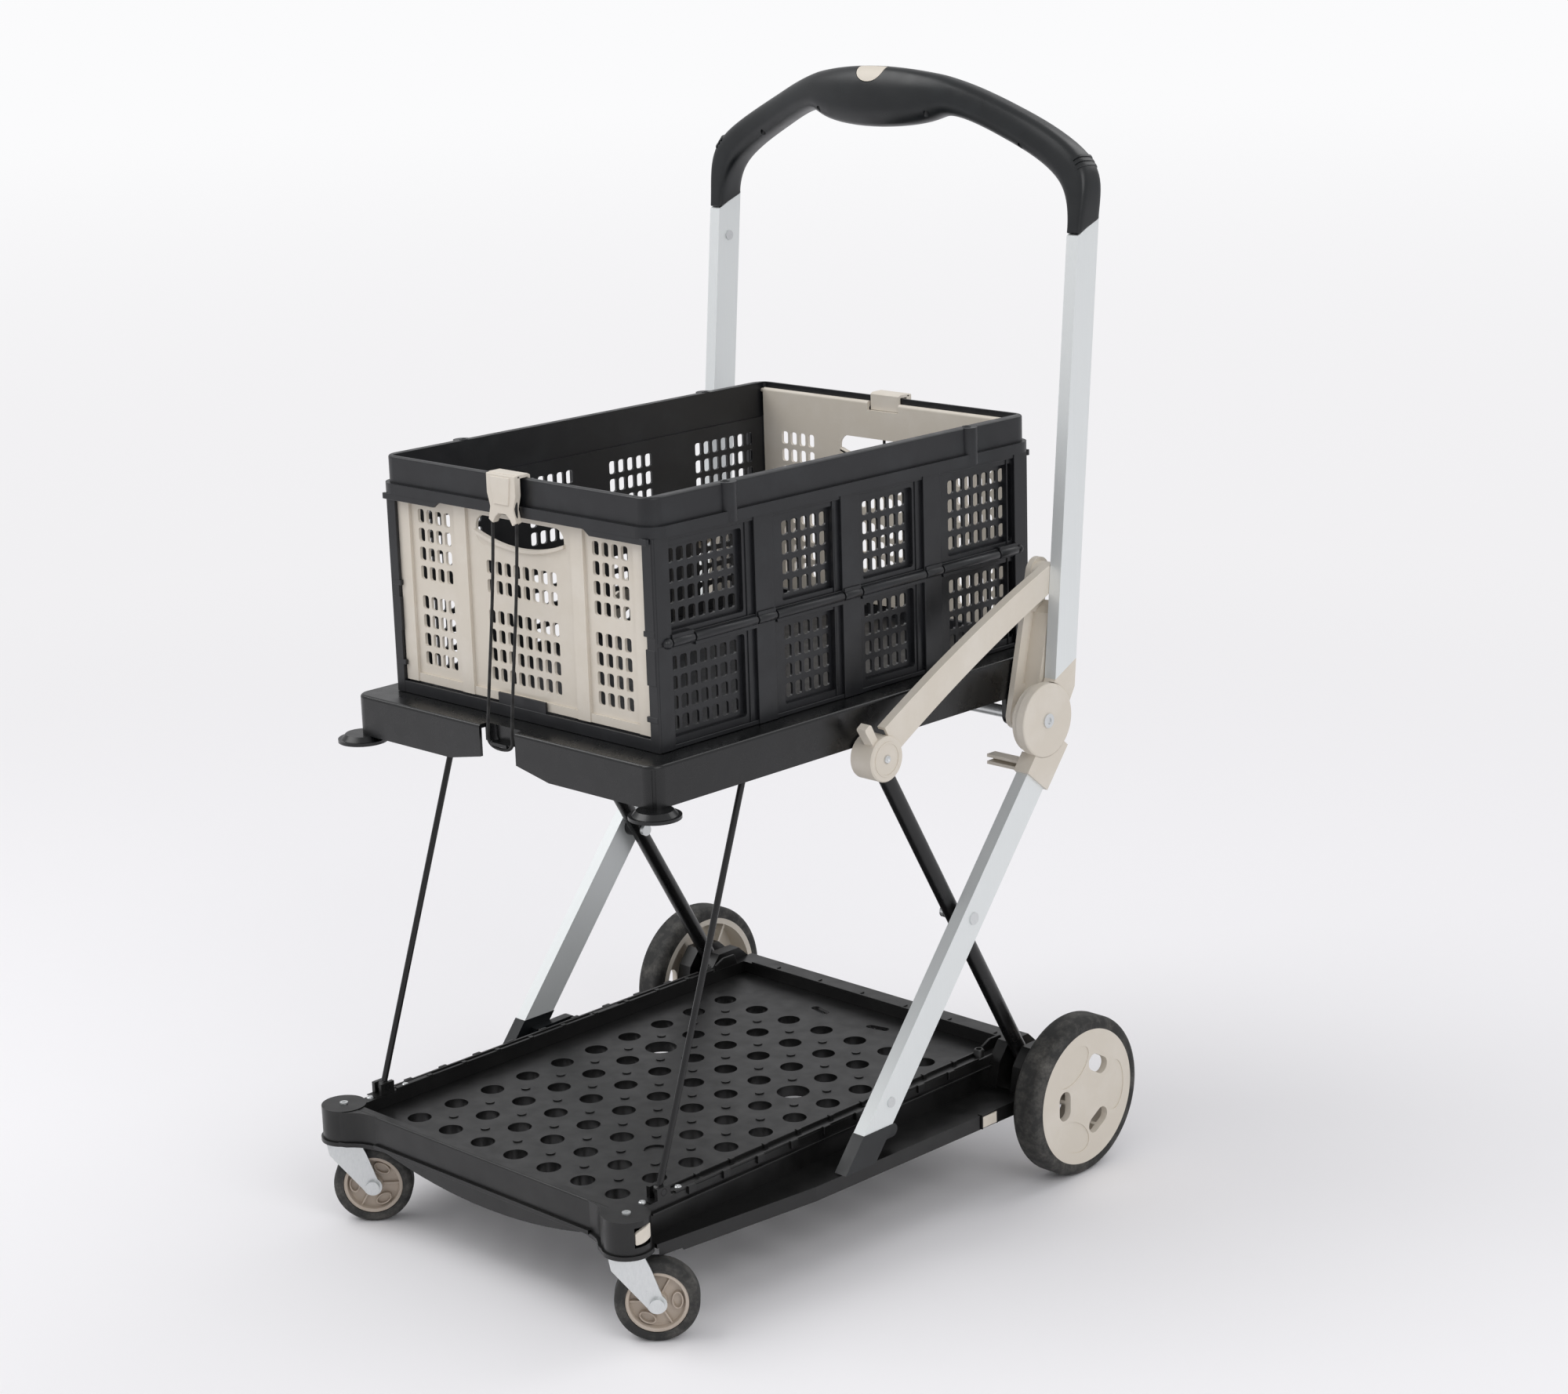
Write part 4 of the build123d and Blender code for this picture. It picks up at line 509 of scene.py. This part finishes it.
def crate_trim():
    """Interlocking corner tabs, the rim's stepped lower edge at both ends, and the rings of its sockets."""
    bm = bmesh.new()
    for _, face, wall in CRATE_ENDS:
        for side in (1, -1):
            for low, high, edge in CORNER_TABS:
                block(bm, (side * edge, side * 176.2), inward(face, wall, 1.1, 4.4), (low, high))
            block(bm, (side * 166.2, side * 177.0), inward(face, wall, 1.5, 11.0), (CRATE_LOW, CRATE_HIGH))
            slab(bm, [(side * 96, 704.2), (side * 104, 698.5), (side * 176, 698.5), (side * 176, 704.2)],
                 *inward(face, wall, -3.6, -0.4), lengthwise)
        block(bm, (-34, 30), inward(face, wall, 2.2, 4.5), (CRATE_LOW, 536))
        block(bm, (-168, 168), inward(face, wall, 1.8, 4.5), (CRATE_LOW, 525.5))
    piece("crate_corner_tabs", "upper_tray", crate_plastic, bm, 0.5)
    bm = bmesh.new()
    for side in (1, -1):
        for y in SOCKETS_Y:
            profile = [(2.2, 737.2), (2.2, 739.6), (4.2, 739.6), (4.2, 737.5)]
            turned(bm, profile, lambda a, b, t: at(side * 173.4 + a, y + b, t), looped=True,
                   steps=24)
    piece("rim_sockets", "upper_tray", crate_plastic, bm, 0.3)


def hand_holes():
    """The curved lip along the lower edge of each hand hole."""
    arc = [(x, LIP_LOW + LIP_SAG * (x / LIP_HALF) ** 2) for x in range(-LIP_HALF, LIP_HALF + 1, 6)]
    plate = arc + [(LIP_HALF, LIP_LOW - 4), (-LIP_HALF, LIP_LOW - 4)]
    lip = [(x, z + 0.6) for x, z in arc] + [(x, z - 3.0) for x, z in reversed(arc)]
    for name, face, wall in CRATE_ENDS:
        bm = bmesh.new()
        slab(bm, plate, *inward(face, wall, 8.0, 10.6), lengthwise)
        slab(bm, lip, *inward(face, wall, 5.2, 10.6), lengthwise)
        piece("hand_hole_lip_" + name, "crate_end_" + name, greige_plastic, bm, 0.6)


# Base

# blend of the front wall into a turret, and the lip below it, as (x, y)
NECK = [(146, -251.5), (158, -253.2), (166, -256.0), (172, -260.0), (178, -265.5), (185, -268.6),
        (186, -251.5)]
NECK_LIP = [(140, -251.5), (156, -256.0), (164, -258.6), (170, -262.4), (176, -267.6), (184, -270.6),
            (186, -251.5)]
LEAF_RADIUS = 22.6
LEAF_HALF = 9.0
CASTER_TRAIL = 24.0
CASTER_AXLE = 38.0
CASTER_TURN = math.radians(45.0)
# half of the hub's section, as radius and distance from its middle
HUB_HALF = [(4.4, 10.0), (8.4, 10.0), (9.0, 9.4), (9.6, 3.6), (10.4, 3.0), (23.6, 3.0), (24.4, 3.8),
            (25.0, 9.4), (25.6, 10.0), (28.4, 10.0)]
HUB_OVALS = 18.0           # the oval rims stand this far from the hub's axis


def base_trim():
    """Gutters, snap tabs, pegs and blends of the moulded base."""
    bm = bmesh.new()
    for side in (1, -1):
        # two lips along the rim make the gutter, and a ledge runs below them on the outside
        block(bm, (side * 183.2, side * 185.4), (-196, 236), (117.5, 121.0))
        block(bm, (side * 193.4, side * 196.2), (-190, 224), (117.5, 119.4))
        block(bm, (side * 195.6, side * 199.6), (-222, 240), (107.0, 109.0))
        # snap tabs along both lips, and two flat pads between them
        for y in range(-176, 220, 44):
            block(bm, (side * 195.0, side * 198.6), (y, y + 9), (112.0, 119.8))
            block(bm, (side * 183.0, side * 187.5), (y + 20, y + 25), (117.6, 121.8))
        for y in (-196, 60):
            block(bm, (side * 186.0, side * 193.0), (y + 4, y + 44), (117.6, 119.0))
        # a hollow peg and an upright ear towards the rear
        turned(bm, [(5.4, 112), (5.2, 124.5), (4.4, 125.6), (2.8, 125.8), (2.6, 120.5)],
               lambda a, b, t: at(side * 189.6 + a, 231 + b, t), steps=24)
        slab(bm, [(240, 112), (240, 124), (252, 129), (268, 129), (272, 118), (272, 112)],
             side * 184.0, side * 186.6, across)
        slab(bm, [(side * x, y) for x, y in NECK], 88.0, 118.3, upright)
        slab(bm, [(side * x, y) for x, y in NECK_LIP], 84.2, 88.4, upright)
    # bead along the front wall's foot, then the lip and the tabs of the rear edge
    block(bm, (-150, 150), (-255.4, -251.0), (86.4, 90.2))
    block(bm, (-172, 172), (281.5, 283.6), (117.5, 119.6))
    for x in range(-150, 151, 60):
        block(bm, (x, x + 12), (283.0, 292.0), (117.4, 119.2))
    piece("base_rim_detail", "base", base_plastic, bm, 0.5)
    bm = bmesh.new()
    for side in (1, -1):
        for y in (-225.0, -181.0):
            turned(bm, [(3.4, 117.6), (3.4, 119.0), (2.6, 119.9), (1.1, 119.8), (0.7, 119.1)],
                   lambda a, b, t: at(side * 189.5 + a, y + b, t), steps=24)
    piece("clip_screws", "base", zinc, bm)


def turret_leaves():
    """The greige release leaves, which follow the round of the turrets."""
    for name, side in SIDES:
        bm = bmesh.new()
        columns, rows = 10, 8
        grid = []
        for i in range(columns + 1):
            u = i / columns
            y = LEAF_HALF * (2 * u - 1)
            low, high = 97.5 + 3.0 * u ** 2, 107.5 + 6.0 * u ** 0.55
            x = side * (TURRET[0] + math.sqrt(LEAF_RADIUS ** 2 - y ** 2))
            grid.append([bm.verts.new(at(x, TURRET[1] + y, low + (high - low) * k / rows))
                         for k in range(rows + 1)])
        for a, b in zip(grid, grid[1:]):
            for k in range(rows):
                bm.faces.new((a[k], b[k], b[k + 1], a[k + 1]))
        leaf = piece("turret_leaf_" + name, "turret_button_" + name, greige_plastic, bm,
                     replaced=["turret_button_" + name])
        body = leaf.modifiers.new("body", "SOLIDIFY")
        body.thickness = 4.0 * MM
        body.offset = -1.0
        soften(leaf, 0.8)


def caster_wheels():
    """Ribbed nylon hubs of the casters, with three ribs and three oval rims on each face."""
    for name, side, turn in (("right", 1, 0.0), ("left", -1, 1.05)):
        def place(a, b, t, side=side):
            x, c = CASTER_TRAIL + a, math.cos(CASTER_TURN)
            return at(side * TURRET[0] + c * (x - t), TURRET[1] + c * (x + t), CASTER_AXLE + b)
        bm = bmesh.new()
        turned(bm, HUB_HALF + [(r, -d) for r, d in reversed(HUB_HALF)], place, looped=True)
        for k in range(3):
            way = turn + math.radians(120 * k)
            for face in (1, -1):
                spot = (HUB_OVALS * math.cos(way), HUB_OVALS * math.sin(way))
                upturned = way + math.pi / 2
                ring_plate(bm, ellipse(spot, 8.2, 5.2, upturned), ellipse(spot, 6.9, 3.9, upturned),
                           face * 2.0, face * 7.4, place)
                rib = way + math.pi / 3
                along, aside = (math.cos(rib), math.sin(rib)), (-math.sin(rib), math.cos(rib))
                outline = [(along[0] * r + aside[0] * w, along[1] * r + aside[1] * w)
                           for r, w in ((8.5, -0.9), (25.0, -0.9), (25.0, 0.9), (8.5, 0.9))]
                slab(bm, outline, face * 2.0, face * 6.6, place)
        piece("caster_rim_" + name, "caster_wheel_" + name, taupe_plastic, bm, 0.5, ["caster_hub_" + name])


# Stay arms

STAY_BOW = 5.5
STAY_RISE = 10.0
STAY_HALF = 13.0
STAY_WEB = (224.4, 227.6)
STAY_RIM = 218.0           # the flanges reach inward to here
STAY_SHEET = 3.0
STAY_STEPS = [k / 20 for k in range(1, 21)]
LOW_FLANGE = 9             # step at which the lower flange starts
DRUM_RADIUS = 21.5
DRUM_OPEN = math.radians(14)    # the drum's wall starts this far past the arm's own direction
DRUM_WRAP = math.radians(226)
DRUM_WALL = ((18.4, 203.8), (21.4, 203.8), (21.4, 225.0), (18.4, 225.0))   # its section: radius, x
# the latch on the drum's upper side, as (y, z)
LATCH = [(48.6, 480.6), (55.2, 485.0), (47.0, 500.6), (44.6, 502.0), (38.6, 498.2), (38.6, 496.2)]


def on_stay(share, aside, x):
    """A place along a stay arm, from its drum to its tip, and aside from its middle line."""
    (y0, z0), (y1, z1) = DRUM, STAY_TIP
    length = math.hypot(y1 - y0, z1 - z0)
    uy, uz = (y1 - y0) / length, (z1 - z0) / length
    off = aside + STAY_RISE * (1 - share) + STAY_BOW * 4 * share * (1 - share)
    along = length * share
    return at(x, y0 + uy * along - uz * off, z0 + uz * along + uy * off)


def on_axis(axis, side):
    """Lathe forms on an axis along X, which is given as (y, z)."""
    return lambda a, b, t: at(side * t, axis[0] + a, axis[1] + b)


def stay_shells():
    """The greige stay arms: a bowed channel that takes up the leg, with an open drum at its lower end."""
    inner, outer = STAY_WEB
    for name, side in SIDES:
        on_drum = on_axis(DRUM, side)
        bm = bmesh.new()
        upper, lower = [], []
        for k, t in enumerate(STAY_STEPS):
            h = STAY_HALF * (1.18 - 0.2 * t)
            corner = [(outer, -h), (outer, h), (STAY_RIM, h), (STAY_RIM, h - STAY_SHEET),
                      (inner, h - STAY_SHEET), (inner, -h)]
            upper.append([on_stay(t, a, side * x) for x, a in corner])
            if k >= LOW_FLANGE:
                edge = inner - (inner - STAY_RIM) * min(1.0, (t - 0.5) / 0.2 + 0.05)
                corner = [(inner + 1, -h), (inner + 1, STAY_SHEET - h), (edge, STAY_SHEET - h), (edge, -h)]
                lower.append([on_stay(t, a, side * x) for x, a in corner])
        skin(bm, upper)
        skin(bm, lower)
        turned(bm, [(12.8, 206.0), (12.8, 227.2)], on_axis(STAY_TIP, side))
        turned(bm, [(DRUM_RADIUS, inner), (DRUM_RADIUS, 228.4), (20.4, 229.6), (4.6, 229.6), (4.4, 229.2)],
               on_drum)
        first = math.atan2(STAY_TIP[1] - DRUM[1], STAY_TIP[0] - DRUM[0]) + DRUM_OPEN
        turns = [first + DRUM_WRAP * k / 36 for k in range(37)]
        skin(bm, [[on_drum(r * math.cos(t), r * math.sin(t), x) for r, x in DRUM_WALL] for t in turns])
        slab(bm, LATCH, side * 215.8, side * 226.4, across)
        piece("stay_shell_" + name, "stay_arms", greige_plastic, bm, 0.7, ["stay_arm_" + name])


def fold_fasteners():
    """Bright screws and raised rings of the drums, and the bezels of the side buttons."""
    for name, side in SIDES:
        bm = bmesh.new()
        turned(bm, [(0.4, 229.9), (1.3, 230.5), (1.9, 231.2), (3.2, 231.0), (3.8, 230.2), (3.8, 229.4)],
               on_axis(DRUM, side), steps=24)
        piece("drum_screw_" + name, "stay_arms", zinc, bm)
        bm = bmesh.new()
        ring = [(r, 229.3 + d) for r, d in ((14.6, 0.0), (14.8, 1.0), (16.2, 1.0), (16.4, 0.0))]
        turned(bm, ring, on_axis(DRUM, side), looped=True)
        piece("drum_ring_" + name, "stay_arms", greige_plastic, bm)
        bm = bmesh.new()
        x = (side * 238.0, side * 244.2)
        block(bm, x, (171.4, 172.8), (74.2, 88.6))
        block(bm, x, (193.2, 194.6), (74.2, 88.6))
        block(bm, x, (171.4, 194.6), (87.2, 88.8))
        piece("button_bezel_" + name, "base", base_plastic, bm, 0.4)


# width of the soft edges on the solids, by the start of their names
ROUNDING = {"base_frame": 0.8, "upper_tray": 1.0, "crate_rim": 0.8, "handle_bracket": 0.8,
            "knuckle": 0.8, "foot_cap": 1.0, "outer_leg": 1.2, "handle_tube": 1.2, "side_button": 1.2,
            "crate_end": 0.5, "crate_side": 0.4, "rear_hub": 0.6, "rod_clips": 0.6, "caster_fork": 0.4,
            "tray_feet": 0.6, "deck_panel": 0.4}
for name, node in nodes.items():
    for stem, width in ROUNDING.items():
        if name.startswith(stem):
            soften(node, width)


# Studio

BACKDROP = "#FBFBFC"
FLOOR_REACH = 40.0         # metres, as are the lamps' places and sizes
LAMPS = (("key", (-1.8, -1.6, 3.4), 2.6, 60), ("fill", (2.8, -0.8, 2.2), 2.0, 24),
         ("back", (0.5, 3.0, 3.2), 2.4, 24))
LAMP_AIM = Vector((0, 0, 0.45))


def studio():
    """Soft lamps over a sheet of pale paper."""
    world = bpy.data.worlds.new("studio")
    bpy.context.scene.world = world
    world.use_nodes = True
    tree = world.node_tree
    sky = tree.nodes["Background"]
    sky.inputs["Color"].default_value = linear("#FBFBFD")
    sky.inputs["Strength"].default_value = 0.64
    # what the camera sees above the floor is as pale as the floor's far end
    wall = add(tree, "ShaderNodeBackground", {"Color": linear(BACKDROP)})
    seen = add(tree, "ShaderNodeLightPath", {}).outputs["Is Camera Ray"]
    both = add(tree, "ShaderNodeMixShader", {0: seen, 1: sky.outputs["Background"],
                                             2: wall.outputs["Background"]})
    tree.links.new(both.outputs["Shader"], tree.nodes["World Output"].inputs["Surface"])
    floor_mesh = bpy.data.meshes.new("floor")
    corners = [(a * FLOOR_REACH, b * FLOOR_REACH, 0) for a, b in ((-1, -1), (1, -1), (1, 1), (-1, 1))]
    floor_mesh.from_pydata(corners, [], [(0, 1, 2, 3)])
    floor = bpy.data.objects.new("floor", floor_mesh)
    bpy.context.collection.objects.link(floor)
    paper, tree, shader, place = start("matt_studio_paper")
    shader.inputs["Base Color"].default_value = linear("#F3F2F4")
    shader.inputs["Roughness"].default_value = 0.9
    # away from the cart the paper runs up into an evenly lit backdrop
    reach = add(tree, "ShaderNodeVectorMath", {0: place}, operation="LENGTH").outputs["Value"]
    tones = [add(tree, "ShaderNodeMapRange", {"Value": reach, "From Min": near, "From Max": far},
                 interpolation_type="SMOOTHSTEP").outputs["Result"]
             for near, far in ((0.8, 3.0), (2.5, 14.0))]
    tone = add(tree, "ShaderNodeMix", {"Factor": tones[1], 6: linear("#F1F0F2"), 7: linear(BACKDROP)},
               data_type="RGBA")
    glow = add(tree, "ShaderNodeEmission", {"Color": tone.outputs[2]})
    seen = add(tree, "ShaderNodeLightPath", {}).outputs["Is Camera Ray"]
    share = add(tree, "ShaderNodeMath", {0: tones[0], 1: seen}, operation="MULTIPLY")
    both = add(tree, "ShaderNodeMixShader", {0: share.outputs["Value"], 1: shader.outputs["BSDF"],
                                             2: glow.outputs["Emission"]})
    tree.links.new(both.outputs["Shader"], tree.nodes["Material Output"].inputs["Surface"])
    floor_mesh.materials.append(paper)
    for name, place, size, power in LAMPS:
        lamp = bpy.data.lights.new(name, "AREA")
        lamp.size = size
        lamp.energy = power
        holder = bpy.data.objects.new(name, lamp)
        holder.location = place
        aim = LAMP_AIM - holder.location
        holder.rotation_euler = aim.to_track_quat("-Z", "Y").to_euler()
        bpy.context.collection.objects.link(holder)


CAMERA = (2094.4, -1978.3, 1265.0)


def camera():
    """The photograph's camera, found from the deck's hole pattern: a long lens, rolled a little."""
    azimuth, pitch, roll = (math.radians(a) for a in (44.31, 14.94, -1.735))
    focal_px, wide_px = 4045.0, 2000.0
    right = Vector((math.cos(azimuth), math.sin(azimuth), 0))
    ahead = Vector((-math.sin(azimuth) * math.cos(pitch), math.cos(azimuth) * math.cos(pitch),
                    -math.sin(pitch)))
    up = right.cross(ahead)
    level = right * math.cos(roll) + up * math.sin(roll)
    upright = up * math.cos(roll) - right * math.sin(roll)
    lens = bpy.data.cameras.new("camera")
    lens.sensor_fit = "HORIZONTAL"
    lens.sensor_width = 36.0
    lens.lens = focal_px * lens.sensor_width / wide_px
    lens.clip_end = 200.0
    holder = bpy.data.objects.new("camera", lens)
    turn = Matrix((level, upright, -ahead)).transposed().to_4x4()
    holder.matrix_world = Matrix.Translation(at(*CAMERA)) @ turn
    bpy.context.collection.objects.link(holder)
    bpy.context.scene.camera = holder


camera()
straps()
grip_pieces()
crate_frames()
crate_trim()
hand_holes()
base_trim()
turret_leaves()
caster_wheels()
stay_shells()
fold_fasteners()
studio()
bpy.context.scene.view_settings.view_transform = "Standard"
